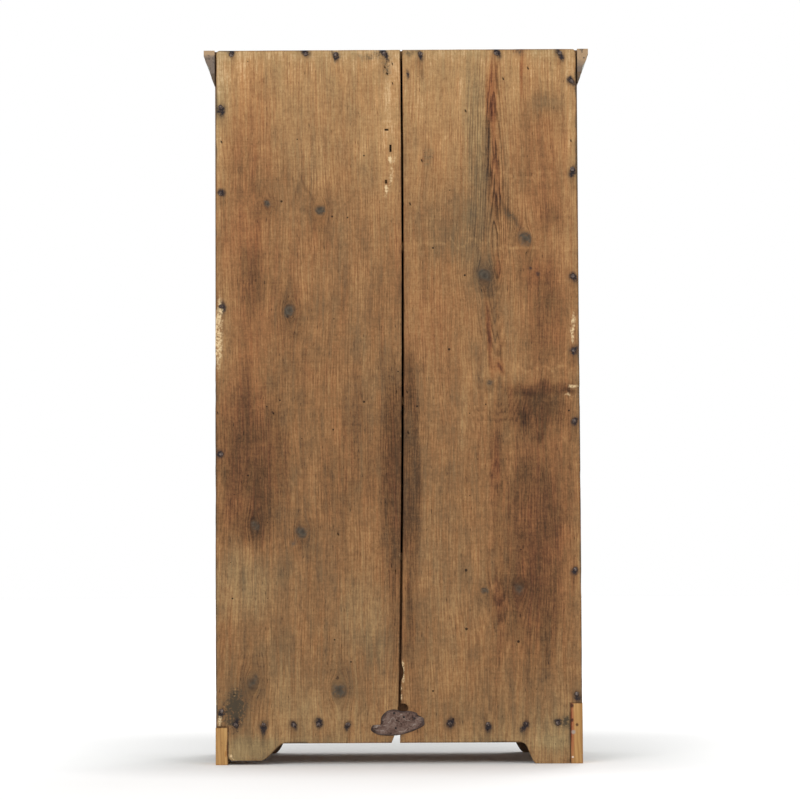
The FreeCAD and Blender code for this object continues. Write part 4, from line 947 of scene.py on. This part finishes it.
        inner, outer = self.inner(z), self.outer(z)
        x = inner[:, None] + (outer - inner)[:, None] * share[None, :]
        low = z < ARCH_HEIGHT - 0.01
        lean = self.foot_run * self.foot_fullness
        bend = 3 * t * (1 - t) ** 2 * lean + 3 * t ** 2 * (1 - t) * (self.foot_run - lean) + t ** 3 * self.foot_run
        toe_x = toe - np.interp(z[low], foot_rows, bend)
        sunk = np.clip(self.foot_lift + self.toe_radius - z[low], 0, self.toe_radius)
        corner = notch - self.toe_radius + np.sqrt(self.toe_radius ** 2 - sunk ** 2)
        part = (share[kt:kn + 1] - share[kt]) / (share[kn] - share[kt])
        x[np.ix_(low, np.arange(kt, kn + 1))] = self.sign * (toe_x[:, None] + (corner - toe_x)[:, None] * part)

        cells = np.ones((len(z) - 1, len(share) - 1), bool)
        cells[z[:-1] < self.notch_top - 0.01, kn:] = False
        cells[z[:-1] < ARCH_HEIGHT - 0.01, :kt] = False
        return x, np.repeat(z[:, None], len(share), 1), cells

    @staticmethod
    def corners(cells: Array) -> tuple[Array, Array]:
        """Marks the corners that touch wood, and those that lie on its border."""
        padded = np.pad(cells, 1)
        rows, columns = cells.shape[0] + 1, cells.shape[1] + 1
        around = np.stack([padded[i:i + rows, j:j + columns] for i in (0, 1) for j in (0, 1)])
        return around.any(0), ~around.all(0)

    def edge_distance(self, x: Array, z: Array, border: Array) -> Array:
        """How far each corner is from the nearest edge of the board."""
        near = np.minimum(np.abs(x - self.inner(z)), np.abs(self.outer(z) - x))
        near = np.minimum(near, CASE_HEIGHT - z)
        under = np.abs(x) < HALF_WIDTH - self.foot_width - self.foot_run + 2
        near = np.where(under, np.minimum(near, z - ARCH_HEIGHT), near)
        return np.where(border, 0.0, np.maximum(near, 0.0))

    def bent(self, x: Array, z: Array) -> Array:
        """Places across the tree: the fibres part round the knots and wander a little."""
        moved = x + sum(knot.parting(x, z) for knot in self.knots)
        return moved + 7 * drift(x, z, 90, 420, 11 + self.sign) + 2.2 * drift(x, z, 30, 120, 13 + self.sign)

    def count(self, across: Array, x: Array, z: Array) -> Array:
        """The rings counted from the heart: near it one to each ring width, and further out fewer than half.

        The distance from the heart is the root of the squares of the place across and of the depth.
        """
        near, far_share = 25.0, 0.42
        ruffle = np.clip((z - 1000) / 200, 0, 1)
        depth = np.interp(z, *zip(*self.heart_depths))
        depth = depth + ruffle * (0.8 * drift(x, z, 200, 45, 17) + 0.6 * drift(x, z, 9, 24, 19))
        radius = np.sqrt((across - self.heart_x) ** 2 + depth ** 2)
        crowded = (1 - far_share) * near * (1 - np.exp(-radius / near))
        return (far_share * radius + crowded) / BACK_PINE.pine.ring_mm

    def fields(self, x: Array, z: Array, edge: Array) -> dict[Field, Array]:
        """All that the board carries: each field is the sum of its marks, read at places shaken by drift.

        Args:
            x: Places across.
            z: Places up.
            edge: How far each is from the board's edge.

        Returns:
            The values of each field.
        """
        shaken_x = x + 4 * drift(x, z, 22, 60, 23 + self.sign) + 1.5 * drift(x, z, 7, 18, 29)
        shaken_z = z + 12 * drift(x, z, 16, 70, 31 + self.sign)
        found = {kind: np.zeros_like(x) for kind in Field}
        marks = self.marks + [mark for knot in self.knots for mark in knot.marks()]
        marks += [Mark(kind, nail_x, nail_z - drop, *rest) for nail_x, nail_z in NAIL_PLACES[self.sign]
                  for kind, drop, *rest in NAIL_STAINS]
        for mark in marks:
            found[mark.kind] += mark.spread(shaken_x, shaken_z)
        # The tone by height: the wood's own, with painted light that makes the upper part paler
        found[Field.TONE] += np.interp(z, *zip(*self.tone_and_top_light)) + 0.04 * drift(x, z, 40, 160, 37)
        found[Field.HUE] += 0.2 * drift(x, z, 70, 240, 41 + self.sign)
        # Dry and grey along the top, the arch and the outer edge
        dry = np.exp(-((CASE_HEIGHT - z) / 22) ** 2) + np.exp(-((z - ARCH_HEIGHT) / 16) ** 2)
        dry += 0.7 * np.exp(-((self.outer(z) - x) / 11) ** 2)
        dry *= 0.75 + 0.35 * drift(x, z, 45, 60, 83)
        for kind, share in ((Field.TONE, 0.06), (Field.HUE, -0.55), (Field.GRIME, 0.14)):
            found[kind] += share * dry
        # Rubbed, dirty and chipped at the edges, more so in the outer half
        outside = np.abs(x) > HALF_WIDTH / 2
        found[Field.TONE] -= (0.1 + 0.18 * outside) * np.exp(-(edge / 2.4) ** 2)
        dirty = np.clip(1.8 * drift(x, z, 80, 34, 89 + self.sign), 0, 1) * outside
        found[Field.GRIME] += 0.5 * dirty * np.exp(-(edge / 5.0) ** 2)
        chips = np.clip(2.0 * drift(x, z, 60, 11, 59 + self.sign) - 1.0, 0, 1) * (0.25 + 0.6 * (z < 260))
        found[Field.FRESH] += chips * np.exp(-(edge / 4.0) ** 2)
        # Slots are painted near black inside, as painted shade
        found[Field.HOLE][self.in_slot(x, z)] = 1.0
        found[Field.RING] = self.bent(x, z)
        found[Field.COUNT] = self.count(found[Field.RING], x, z)
        return found

    def relief(self, x: Array, z: Array, edge: Array) -> Array:
        """How far the back face lies below its plane: rounded edges, hollows of the plane, dents and slots."""
        radius = self.edge_radius * (1 + 0.5 * drift(x, z, 30, 45, 43))
        inside = np.clip(1 - edge / radius, 0, 1)
        drop = radius * (1 - np.sqrt(1 - inside ** 2))
        drop += 0.45 + 0.3 * drift(x, z, 34, 300, 47) + 0.12 * drift(x, z, 9, 150, 53)
        for nail_x, nail_z in NAIL_PLACES[self.sign]:
            drop += 0.9 * np.exp(-((x - nail_x) ** 2 + (z - nail_z) ** 2) / 81)
        return np.maximum(drop + self.slot_depth * self.in_slot(x, z), 0.05)

    def build(self) -> bpy.types.Object:
        """Works out the surface, closes it and dresses it."""
        x, z, cells = self.grid()
        used, border = self.corners(cells)
        edge = self.edge_distance(x, z, border)
        fields, drop = self.fields(x, z, edge), self.relief(x, z, edge)
        # Each dot is a dip, painted near black as painted shade
        for dot_x, dot_z, depth in self.dots:
            at = np.argmin(np.where(used, (x - dot_x) ** 2 + (z - dot_z) ** 2, np.inf))
            x.flat[at], z.flat[at] = dot_x, dot_z
            drop.flat[at] += depth
            fields[Field.HOLE].flat[at] = 1.0

        number = np.cumsum(used).reshape(used.shape) - 1
        count = int(used.sum())
        back = np.stack([x[used], (BACK_PLANE - drop)[used], z[used]], 1)
        front = np.stack([x[used], np.full(count, BOARD_FRONT), z[used]], 1)
        a, b, c, d = number[:-1, :-1], number[:-1, 1:], number[1:, 1:], number[1:, :-1]
        face = np.stack([part[cells] for part in (a, b, c, d)], 1)
        quads = [face[:, [0, 3, 2, 1]], face + count]
        padded = np.pad(cells, 1)
        for beside, first, second in ((padded[:-2, 1:-1], a, b), (padded[2:, 1:-1], c, d),
                                      (padded[1:-1, :-2], d, a), (padded[1:-1, 2:], b, c)):
            gone = ~beside & cells
            p, q = first[gone], second[gone]
            quads.append(np.stack([p, q, q + count, p + count], 1))
        faces = np.concatenate(quads)[:, ::self.sign]
        carried = {kind: np.concatenate([values[used], values[used] * INSIDE_SHARES.get(kind, 1.0)])
                   for kind, values in fields.items()}
        return new_piece(f"{self.name}_planed", np.concatenate([back, front]), faces,
                         BACK_PINE.material(self.name, self.seed, self.knots), self.name, carried)


# Nails by board, from the middle to the outer edge: along the top, along the bottom and up the side
NAIL_PLACES = {sign: [*((sign * x, 1690.0) for x in top), *((sign * x, 94.0) for x in bottom),
                      *((sign * 419.5, float(z)) for z in side)]
               for sign, top, bottom, side in (
                   (1, (394, 216, 143, 28), (386, 320, 250, 191, 121), (1564, 1356, 1086, 734, 127)),
                   (-1, (59, 240, 392), (120, 210, 298, 375), (1622, 1411, 1154, 978, 809, 458, 164)))}
TONE, HUE, KNOT, FRESH = Field.TONE, Field.HUE, Field.KNOT, Field.FRESH
IRON, GRIME, GRAIN = Field.IRON, Field.GRIME, Field.GRAIN


def right_board() -> BackBoard:
    """The right board: straight grain with seven knots, red-brown above and dirty below."""
    marks = (
        # Paler along the joint and the top, redder by the outer edge
        (TONE, 20, 1500, 26, 200, 0.16), (TONE, 200, 1700, 400, 50, 0.06), (TONE, 426, 1560, 12, 230, 0.10),
        (HUE, 422, 1600, 14, 90, -0.7), (HUE, 345, 1430, 55, 250, 0.45, 1.5),
        (TONE, 352, 1480, 45, 160, -0.07, 1.5),
        # A smoky patch by the upper knots, with two arcs of dark grain
        (TONE, 305, 1385, 85, 45, -0.12), (HUE, 305, 1385, 85, 45, -0.4),
        (TONE, 234, 1364, 4, 26, -0.17, 1.0, -0.5), (TONE, 211, 1362, 4, 30, -0.17, 1.0, 0.5),
        (TONE, 185, 1265, 24, 70, -0.07), (TONE, 345, 1180, 45, 120, -0.10, 1.5),
        (TONE, 340, 1178, 14, 110, -0.10), (HUE, 375, 1250, 50, 120, 0.2),
        # The torn edge
        (FRESH, 425, 1020, 10, 90, 0.62, 2.0), (TONE, 418, 1000, 16, 120, 0.12),
        (HUE, 355, 1000, 60, 130, 0.45),
        # The dark band by the outer edge ends at a line, and the wood below it is paler and yellower
        (TONE, 352, 700, 46, 190, -0.06, 2.0), (TONE, 355, 720, 95, 205, -0.11, 3.0),
        (HUE, 352, 700, 70, 205, 0.35, 2.0), (TONE, 370, 430, 75, 85, 0.10, 2.0),
        (HUE, 370, 430, 85, 95, -0.6, 2.0), (TONE, 421, 669, 8, 55, 0.16), (KNOT, 247, 529, 9, 8, 0.7),
        (TONE, 140, 760, 110, 180, -0.035, 2.0),
        # Stain along the joint
        (TONE, 6, 690, 28, 290, -0.16, 3.0), (TONE, 14, 780, 26, 120, -0.07, 2.0),
        (TONE, 6, 330, 18, 120, -0.10, 2.0), (HUE, 10, 650, 28, 330, 0.1, 2.5), (TONE, 75, 340, 65, 80, 0.09),
        (HUE, 75, 340, 75, 100, -0.5),
        # Grey dirt and damp at the foot
        (HUE, 230, 180, 260, 160, -0.5), (TONE, 160, 110, 150, 75, 0.14), (GRIME, 392, 125, 26, 50, 0.75),
        (GRIME, 372, 150, 45, 60, 0.35), (GRIME, 320, 96, 9, 18, 0.8), (TONE, 365, 26, 62, 36, 0.14),
        (HUE, 360, 26, 80, 42, -1.4), (GRIME, 365, 20, 50, 22, 0.2), (FRESH, 396, 17, 6, 5, 0.7),
        # Dirt by the worm holes at the top, and torn fibres by the slots
        (GRIME, 22, 1655, 17, 34, 0.5), (GRIME, 60, 1692, 40, 9, 0.45),
        (FRESH, 14, 1400, 7, 60, 0.42, 1.0, -0.25), (FRESH, 16, 1442, 4, 9, 1.3, 2.0),
        (FRESH, 27, 1363, 3, 8, 1.3, 2.0), (FRESH, 421, 108, 7, 12, 0.9, 2.0))
    knots = ((306.5, 1330.6, 8, 0.9), (183.5, 1320.4, 12, 0.85), (255.8, 1075.6, 12, 0.8), (339.8, 566.4, 10, 0.7),
             (226.1, 550.2, 13, 0.9), (345.7, 195.2, 14, 0.6), (141.8, 176.3, 18, 0.8))
    dots = [(27, 1657, 4), (20, 1643.5, 4), (8, 1667, 3), (8.2, 1621, 3), (417, 1481, 3), (295, 831, 3),
            (428, 834, 2), (143.5, 543, 4), (6.2, 456, 4), (1.5, 882, 3)]
    return BackBoard(sign=1, seed=5, foot_width=108, foot_run=55, foot_lift=10, foot_fullness=0.3,
                     notch_top=88.3, marks=[Mark(*row) for row in marks], knots=[Knot(*row) for row in knots],
                     dots=dots, heart_x=520, heart_depths=((0, 160), (700, 120), (1700, 150)),
                     tone_and_top_light=((0, 0.5), (400, 0.48), (700, 0.45), (1000, 0.47), (1300, 0.54), (1500, 0.62),
                            (1700, 0.68)),
                     slots=((22.9, 1507.5, 10.0, 4.0), (13.9, 1463.0, 4.0, 17.0), (25.9, 1383.0, 4.0, 9.0)),
                     toe_radius=11, chip=(15, 19))


def left_board() -> BackBoard:
    """The left board: cathedral grain in its middle, a grey streak beside it and smoky stains below."""
    marks = (
        # The grey streak, and beside it the red heart with its dark edge
        (HUE, -191, 1440, 30, 260, -0.9, 1.5), (TONE, -191, 1440, 28, 260, -0.09, 1.5),
        (HUE, -231, 1575, 12, 85, 1.2, 1.5), (TONE, -231, 1575, 12, 85, -0.16, 1.5),
        (TONE, -235, 1390, 26, 130, -0.10, 1.5), (HUE, -238, 1400, 14, 110, 0.7, 1.5),
        (TONE, -221, 1490, 3.5, 120, -0.28), (TONE, -262, 1325, 6, 70, -0.16, 1.0, 0.5),
        # Where the lines of the rings are strong, and where they fade
        (GRAIN, -236, 1480, 20, 190, 1.0, 3.0), (GRAIN, -194, 1440, 26, 240, 0.6, 2.0),
        (GRAIN, -250, 1290, 38, 90, 0.9, 2.0), (GRAIN, -232, 1120, 20, 170, 0.4, 3.0),
        (GRAIN, -232, 905, 80, 60, -0.3, 2.0), (GRAIN, -232, 720, 22, 95, 0.4, 3.0),
        (GRAIN, -238, 370, 24, 95, 0.4, 3.0),
        # Thin pale scars across the grain
        (TONE, -150, 1236, 110, 3.2, 0.12, 2.0), (TONE, -290, 1222, 70, 3.2, 0.12, 2.0),
        (TONE, -330, 1395, 90, 3.2, 0.10, 2.0), (TONE, -345, 936, 80, 3.4, 0.12, 2.0),
        # A drip from the top edge, and smoke towards the outer edge
        (IRON, -297, 1692, 17, 20, 0.55), (HUE, -297, 1692, 20, 22, 0.8), (TONE, -302, 1640, 4, 45, -0.22),
        (HUE, -302, 1640, 5, 45, 1.2), (HUE, -351, 1571, 40, 20, -0.7), (TONE, -351, 1571, 40, 20, -0.08),
        (TONE, -350, 1460, 85, 150, -0.16, 1.5), (HUE, -350, 1420, 60, 170, 0.6),
        (TONE, -365, 1300, 28, 45, -0.16), (TONE, -413, 1480, 10, 220, 0.11),
        # Smoky between the joint and the knots, warmer below
        (TONE, -120, 1265, 90, 95, -0.11, 1.5), (HUE, -120, 1265, 90, 95, -0.6, 1.5),
        (TONE, -215, 1150, 45, 45, -0.08), (HUE, -90, 1030, 70, 100, 0.4),
        (GRIME, -272, 1300, 11, 62, 0.5, 1.0, 0.6), (HUE, -209, 1160, 45, 55, -0.8),
        (IRON, -319, 1177, 7, 6, 0.7), (IRON, -337, 1162, 6, 7, 0.8), (HUE, -330, 1165, 40, 30, 0.7),
        (TONE, -335, 1150, 60, 60, -0.08), (HUE, -242, 1178, 9, 38, 1.2), (TONE, -242, 1178, 9, 38, -0.12),
        (TONE, -219, 1006, 4, 80, -0.24, 1.5, 0.08), (HUE, -219, 1006, 6, 80, 1.2, 1.5, 0.08),
        (TONE, -248, 976, 3.5, 40, -0.24, 1.5, 0.1), (TONE, -244, 934, 7, 14, -0.34, 1.5, 0.3),
        (HUE, -244, 934, 12, 20, 1.2), (TONE, -228, 1060, 32, 120, -0.08, 1.5),
        (TONE, -236, 1540, 16, 100, -0.06, 1.5), (KNOT, -219, 912, 9, 7, 0.6),
        (TONE, -360, 1050, 50, 130, -0.15, 1.5), (HUE, -360, 1050, 60, 140, 0.5, 1.5),
        # Stain across, and the dark red-brown wood below it
        (TONE, -340, 888, 105, 17, -0.17, 2.0), (HUE, -340, 890, 105, 16, 0.3, 2.0),
        (TONE, -318, 838, 90, 52, -0.23, 2.0), (TONE, -302, 819, 12, 18, -0.14),
        (TONE, -342, 776, 13, 15, -0.18), (TONE, -335, 600, 52, 300, -0.09, 2.0),
        (TONE, -315, 480, 88, 270, -0.13, 2.5), (HUE, -335, 560, 80, 330, 0.55, 2.0),
        (HUE, -232, 720, 14, 85, 0.9), (TONE, -232, 720, 10, 80, -0.12), (HUE, -238, 385, 14, 60, 0.8),
        (TONE, -238, 385, 14, 60, -0.14), (TONE, -130, 430, 55, 150, 0.06), (HUE, -130, 430, 70, 170, -0.4),
        # Torn places on the outer edge
        (FRESH, -420, 1026, 5, 36, 0.62, 2.0), (FRESH, -413, 892, 17, 4, 0.5), (FRESH, -402, 872, 14, 3, 0.5),
        (TONE, -404, 881, 10, 5, -0.3),
        # Stain along the joint, and rust below a nail that is gone
        (TONE, -30, 690, 26, 290, -0.22, 3.0), (TONE, -24, 900, 20, 70, -0.10, 2.0),
        (TONE, -26, 330, 14, 120, -0.12, 2.0), (FRESH, -9, 216, 3.5, 24, 1.1, 2.0),
        (FRESH, 0, 270, 2.5, 40, 0.6, 2.0), (FRESH, -5, 150, 3, 10, 0.7, 2.0), (IRON, -27, 1647, 4, 10, 1.0),
        (GRIME, -22, 1690, 30, 9, 0.5), (GRIME, -75, 1440, 16, 26, 0.4), (TONE, -52, 1660, 11, 28, -0.14),
        # Dry and grey at the foot
        (HUE, -250, 100, 260, 100, -0.4), (HUE, -375, 60, 70, 70, -0.6), (TONE, -370, 45, 65, 60, 0.15),
        (GRIME, -392, 93, 18, 22, 0.8), (TONE, -200, 70, 140, 20, 0.05))
    knots = ((-305.1, 1240.7, 15, 0.75), (-208.8, 1156.3, 13, 0.9), (-202, 404, 9, 0.7), (-286, 411, 13, 0.55),
             (-217.6, 905.8, 6, 0.3))
    dots = [(-166, 1552, 4), (-257, 1627.5, 3), (-316, 1654, 3), (-60, 1434, 3), (-32.6, 1329, 4), (-416, 1478, 3),
            (-22.7, 880, 3), (-24, 783, 4)]
    return BackBoard(sign=-1, seed=9, foot_width=107, foot_run=38, foot_lift=0, foot_fullness=0.5,
                     notch_top=142.3, marks=[Mark(*row) for row in marks], knots=[Knot(*row) for row in knots],
                     dots=dots, heart_x=-236,
                     heart_depths=((0, 90), (298, 74), (430, 60), (655, 60), (800, 74), (917, 40), (1170, 13),
                                   (1250, 14), (1700, 31)),
                     tone_and_top_light=((0, 0.51), (400, 0.49), (700, 0.49), (1000, 0.53), (1300, 0.57), (1500, 0.66),
                            (1700, 0.72)),
                     bite=(216, 40, 6))


# Nails, patch and studio


def tube(rows: int, around: int) -> Array:
    """Quads between rows of points that run round, one row after another."""
    i, j = np.meshgrid(np.arange(rows - 1), np.arange(around), indexing="ij")
    k = (j + 1) % around
    return np.stack([i * around + j, i * around + k, (i + 1) * around + k, (i + 1) * around + j], -1).reshape(-1, 4)


@dataclass
class WroughtNails:
    """The wrought nails of the back: hammered heads over tapered square shanks."""

    head_radius: float = 5.5
    head_rise: float = 2.4
    shank: float = 2.4
    length: float = 45.0
    around: int = 20
    # The head's profile, from the crown to under the rim, and the shank's width at each depth
    reach: tuple[float, ...] = (0.3, 0.62, 0.88, 1.0, 0.97, 0.5)
    rise: tuple[float, ...] = (0.97, 0.8, 0.45, 0.1, -0.35, -0.5)
    taper: tuple[float, ...] = (0.8, 0.35, 0.02)

    def build(self) -> bpy.types.Object:
        """Each nail is a profile carried round its axis, whose round turns square down the shank."""
        rng = np.random.default_rng(7)
        reach, rise, taper = (np.array(part)[:, None] for part in (self.reach, self.rise, self.taper))
        depths = np.array([[-2.0], [2 - self.length], [1 - self.length]])
        n, rows = self.around, len(reach) + len(taper)
        theta = np.arange(n) * 2 * math.pi / n
        square = self.shank / np.maximum(np.abs(np.cos(theta)), np.abs(np.sin(theta))) / 1.2
        m = np.arange(n)
        cap = np.stack([(m + 1) % n, (m + 1) % n, m, np.full(n, rows * n)], 1)
        # The first corner decides which way a quad is cut in two
        one = np.concatenate([np.roll(tube(rows, n), -1, 1), cap])
        points, faces = [], []
        for x, z in NAIL_PLACES[1] + NAIL_PLACES[-1]:
            turn, size = rng.uniform(0, 2 * math.pi), rng.uniform(0.88, 1.0)
            facets = 1 + 0.05 * np.cos(5 * theta + turn) + 0.05 * np.cos(3 * theta + 2 * turn)
            dents = 1 - 0.16 * np.clip(np.cos(4 * theta + turn), 0, 1)
            radius = np.concatenate([size * self.head_radius * reach * facets, taper * square])
            head = self.head_rise * rise * np.where(rise > 0, dents, 1.0)
            depth = np.concatenate([head, depths * np.ones(n)])
            ring = np.stack([x + radius * np.cos(theta), BACK_PLANE + depth, z + radius * np.sin(theta)], -1)
            faces.append(one + len(faces) * (rows * n + 1))
            points += [ring.reshape(-1, 3), [[x, BACK_PLANE + self.head_rise, z]]]
        return new_piece("back_nails_wrought", np.concatenate(points), np.concatenate(faces),
                         WROUGHT_NAIL.material("back_nails"), "back_nails", sharp_degrees=50)


@dataclass
class SheetPatch:
    """The sheet-iron patch over the joint's lower end: cut with shears, hammered flat and pitted."""

    # The outline is given from the joint and the arch
    corners: tuple[tuple[float, float], ...] = (
        (66, 29), (62, 43), (41, 42), (41, 62), (27, 76), (9, 80), (-8, 74), (-25, 76), (-44, 71), (-47, 63),
        (-60, 60), (-63, 41), (-38, 29), (-20, 23), (4, 17), (46, 18))
    middle: tuple[float, float] = (0.0, 46.0)
    thickness: float = 1.05
    rings: int = 26
    shortening: tuple[float, ...] = (0.18, 0.22, 0.25)

    def outline(self) -> Array:
        """The corners rounded: each side is shortened at both ends by a share, and this is done over again."""
        line = np.array(self.corners, float)
        for share in self.shortening:
            ahead = np.roll(line, -1, 0)
            near, far = (1 - share) * line + share * ahead, share * line + (1 - share) * ahead
            line = np.stack([near, far], 1).reshape(-1, 2)
        return line[::-1]

    def build(self) -> bpy.types.Object:
        """Rings from the middle to the outline, raised by lumps and drawn down at the rim, over a flat underside."""
        line = self.outline()
        n = len(line)
        share = np.concatenate([np.linspace(0.04, 0.93, self.rings - 3), [0.965, 0.99, 1.0]])[:, None]
        x = JOINT_X[0] + self.middle[0] + share * (line[:, 0] - self.middle[0])
        z = ARCH_HEIGHT + self.middle[1] + share * (line[:, 1] - self.middle[1])
        top = self.thickness + 0.22 * drift(x, z, 15, 11, 71) + 0.12 * drift(x, z, 5, 4, 73)
        top = np.where(share > 0.98, top * 0.72, top)
        top = np.where(share > 0.995, 0.35, top)
        y = BACK_PLANE + np.concatenate([top, np.full((1, n), -0.3)])
        x, z = np.concatenate([x, x[-1:]]), np.concatenate([z, z[-1:]])
        # A dark rim of painted shade along the patch's edge, with its own unevenness
        rim = np.clip((np.concatenate([share, [[1.0]]]) - 0.82) / 0.16, 0, 1)
        rim = np.clip(rim * (0.9 + 0.5 * drift(x, z, 9, 9, 79)), 0, 1)
        half = np.arange(n // 2 - 1)
        first = np.stack([half, n - 1 - half, n - 2 - half, half + 1], 1)
        # The outline runs the way that makes these face inwards, so all are turned round
        faces = np.concatenate([tube(len(x), n), first, first[:, ::-1] + (len(x) - 1) * n])[:, ::-1]
        return new_piece("patch_sheet", np.stack([x.ravel(), y.ravel(), z.ravel()], 1), faces,
                         SHEET_IRON.material("patch_sheet"), "patch_plate", {Field.RIM: rim})


def seen(add: Add) -> Socket:
    """One for rays that carry the view, straight, by a mirror or through glass, and nought for lighting."""
    path = add("LightPath").node.outputs
    straight = add("Math MAXIMUM", path["Is Camera Ray"], path["Is Glossy Ray"])
    return add("Math MAXIMUM", straight, path["Is Transmission Ray"])


@dataclass
class Studio:
    """A pale floor, a white surround, soft lamps and the camera."""

    # Focal length and width of the film, and the place of the camera, in millimetres; its turns in radians
    lens: float = 132.78
    sensor: float = 36.0
    clip_end: float = 100.0
    place: tuple[float, float, float] = (-13.73, 7231.75, 480.33)
    yaw: float = 0.00113
    pitch: float = 0.05432
    roll: float = -0.00506
    floor_half: float = 30.0
    # Light that the surround sends out, where the view sees plain white
    surround: float = 0.62
    # The floor turns white to the view far away, between two distances in metres
    glow_from: float = 1.6
    glow_full: float = 5.0
    far_glow: float = 0.32
    # and painted light beside the cupboard, which lifts its soft shadow past a footprint moved to the front, where
    # the real shade stays
    near_painted_light: float = 0.2
    near_reach: float = 0.45
    shade_shift: float = 0.25
    # Name, place, size and watts
    lamps: tuple[tuple[str, tuple[float, float, float], float, float], ...] = (
        ("key_lamp", (2.6, 5.2, 3.4), 3.0, 108.0), ("fill_lamp", (-3.4, 4.6, 2.4), 3.2, 50.0),
        ("front_lamp", (-2.0, -5.0, 3.6), 3.4, 95.0))
    lamp_aim: tuple[float, float, float] = (0.0, 0.0, 0.8)

    def camera(self) -> None:
        """Sets the camera at its place, turned from looking down: half round and by yaw, up by pitch, by roll."""
        data = bpy.data.cameras.new("camera")
        data.lens, data.sensor_width, data.sensor_fit = self.lens, self.sensor, "HORIZONTAL"
        data.clip_end = self.clip_end
        stand = Matrix.Translation(Vector(self.place) * MM)
        for angle, axis in ((math.pi + self.yaw, "Z"), (math.pi / 2 + self.pitch, "X"), (self.roll, "Z")):
            stand = stand @ Matrix.Rotation(angle, 4, axis)
        camera = new_object("camera", data)
        camera.matrix_world = stand
        bpy.context.scene.camera = camera

    def light(self) -> None:
        """White surround for the view and a softer one for the light, with three wide lamps."""
        scene = bpy.context.scene
        scene.view_settings.view_transform = "Standard"
        scene.world = bpy.data.worlds.new("studio")
        scene.world.use_nodes = True
        scene.world.node_tree.nodes.clear()
        add = partial(put, scene.world.node_tree)
        strength = add("MapRange", seen(add), 0, 1, self.surround, 1)
        add("OutputWorld", add("Background", "#FFFFFF", strength))
        for name, place, size, watts in self.lamps:
            data = bpy.data.lights.new(name, "AREA")
            data.shape, data.size, data.energy = "DISK", size, watts
            lamp = new_object(name, data)
            lamp.location = place
            aim = Vector(self.lamp_aim) - Vector(place)
            lamp.rotation_euler = aim.to_track_quat("-Z", "Y").to_euler()

    def floor(self) -> None:
        """A wide matt floor, painted off-white, with a faint mottle and painted light beside the cupboard."""
        material, add = new_material("matt_floor_paint")
        place = add("TexCoord", out="Object")
        mottle = add("TexNoise", place, Scale=1.5, Detail=2)
        away = add("VectorMath LENGTH", place, out="Value")
        away = add("MapRange", away, self.glow_from, self.glow_full, 0, self.far_glow)
        # Painted light beside the cupboard: none over its footprint, moved to the front, so the real shadow stays
        # there
        beside = add("VectorMath ABSOLUTE", add("VectorMath ADD", place, (0, self.shade_shift, 0)))
        beside = add("VectorMath SUBTRACT", beside, (HALF_WIDTH * MM, BACK_PLANE * MM + self.shade_shift, 0))
        beside = add("VectorMath LENGTH", add("VectorMath MAXIMUM", beside, (0,) * 3), out="Value")
        beside = add("MapRange", beside, 0, self.near_reach, 0, self.near_painted_light)
        glow = add("Math MULTIPLY", seen(add), add("Math ADD", away, beside))
        colour = add("ValToRGB", mottle, stops=((0.3, "#FBFBFA"), (0.7, "#FFFFFF")))
        add("OutputMaterial", add("BsdfPrincipled", Base_Color=colour, Roughness=0.9, Emission_Color="#FFFFFF",
                                  Emission_Strength=glow))
        half = self.floor_half
        mesh = bpy.data.meshes.new("floor")
        mesh.from_pydata([(-half, -half, 0), (half, -half, 0), (half, half, 0), (-half, half, 0)], [], [(0, 1, 2, 3)])
        mesh.materials.append(material)
        new_object("floor", mesh)


@dataclass
class CadPieces:
    """The CAD nodes that keep their shape, each with its finish and the way its grain runs."""

    # Finish, grain and the patterns of names, most particular first
    finishes: tuple[tuple[BarePine | PaintedPine | Iron | Brass, Axis, str], ...] = (
        (PEG_OAK, Axis.Y, "*_pegs"),
        (WROUGHT_NAIL, Axis.Z, "*_nails"),
        (TACK_IRON, Axis.Z, "patch_tacks"),
        (SHEET_IRON, Axis.Z, "patch_plate"),
        (Brass(), Axis.Z, "escutcheon"),
        (HARDWARE_IRON, Axis.Z, "*_screws hinge_pins door_hinge_* frame_hinge_* door_bolt slide_bolt_* lock_* ke*"),
        (NEW_PINE, Axis.Z, "rear_foot_right"),
        (STAINED_NEW_PINE, Axis.Z, "rear_foot_left"),
        (SMOKED_PINE, Axis.Z, "joint_batten"),
        (PAINTED_PINE, Axis.X, "crown_front bed_mould_front front_top_rail front_skirt door_*_rail"),
        (PAINTED_PINE, Axis.Y, "crown_* bed_mould_*"),
        (PAINTED_PINE, Axis.Z, "side_* front_stile_* door_*"),
        (INSIDE_PINE, Axis.X, "*"),
    )

    def dress(self) -> None:
        """Gives each node the first finish with a pattern that its name fits."""
        for seed, (name, node) in enumerate(sorted(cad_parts.items())):
            finish, grain = next((finish, grain) for finish, grain, patterns in self.finishes
                                 if any(fnmatch(name, pattern) for pattern in patterns.split()))
            material = finish.material(name, grain, seed)
            for slot in node.material_slots:
                slot.material = material
            log.info("%s: %s", name, finish.name)


def main() -> None:
    """Builds the studio and the pieces in order."""
    logging.basicConfig(level=logging.INFO, format="%(name)s %(message)s")
    studio = Studio()
    studio.camera()
    studio.light()
    studio.floor()
    CadPieces().dress()
    right_board().build()
    left_board().build()
    WroughtNails().build()
    SheetPatch().build()


if __name__ == "__main__":
    main()
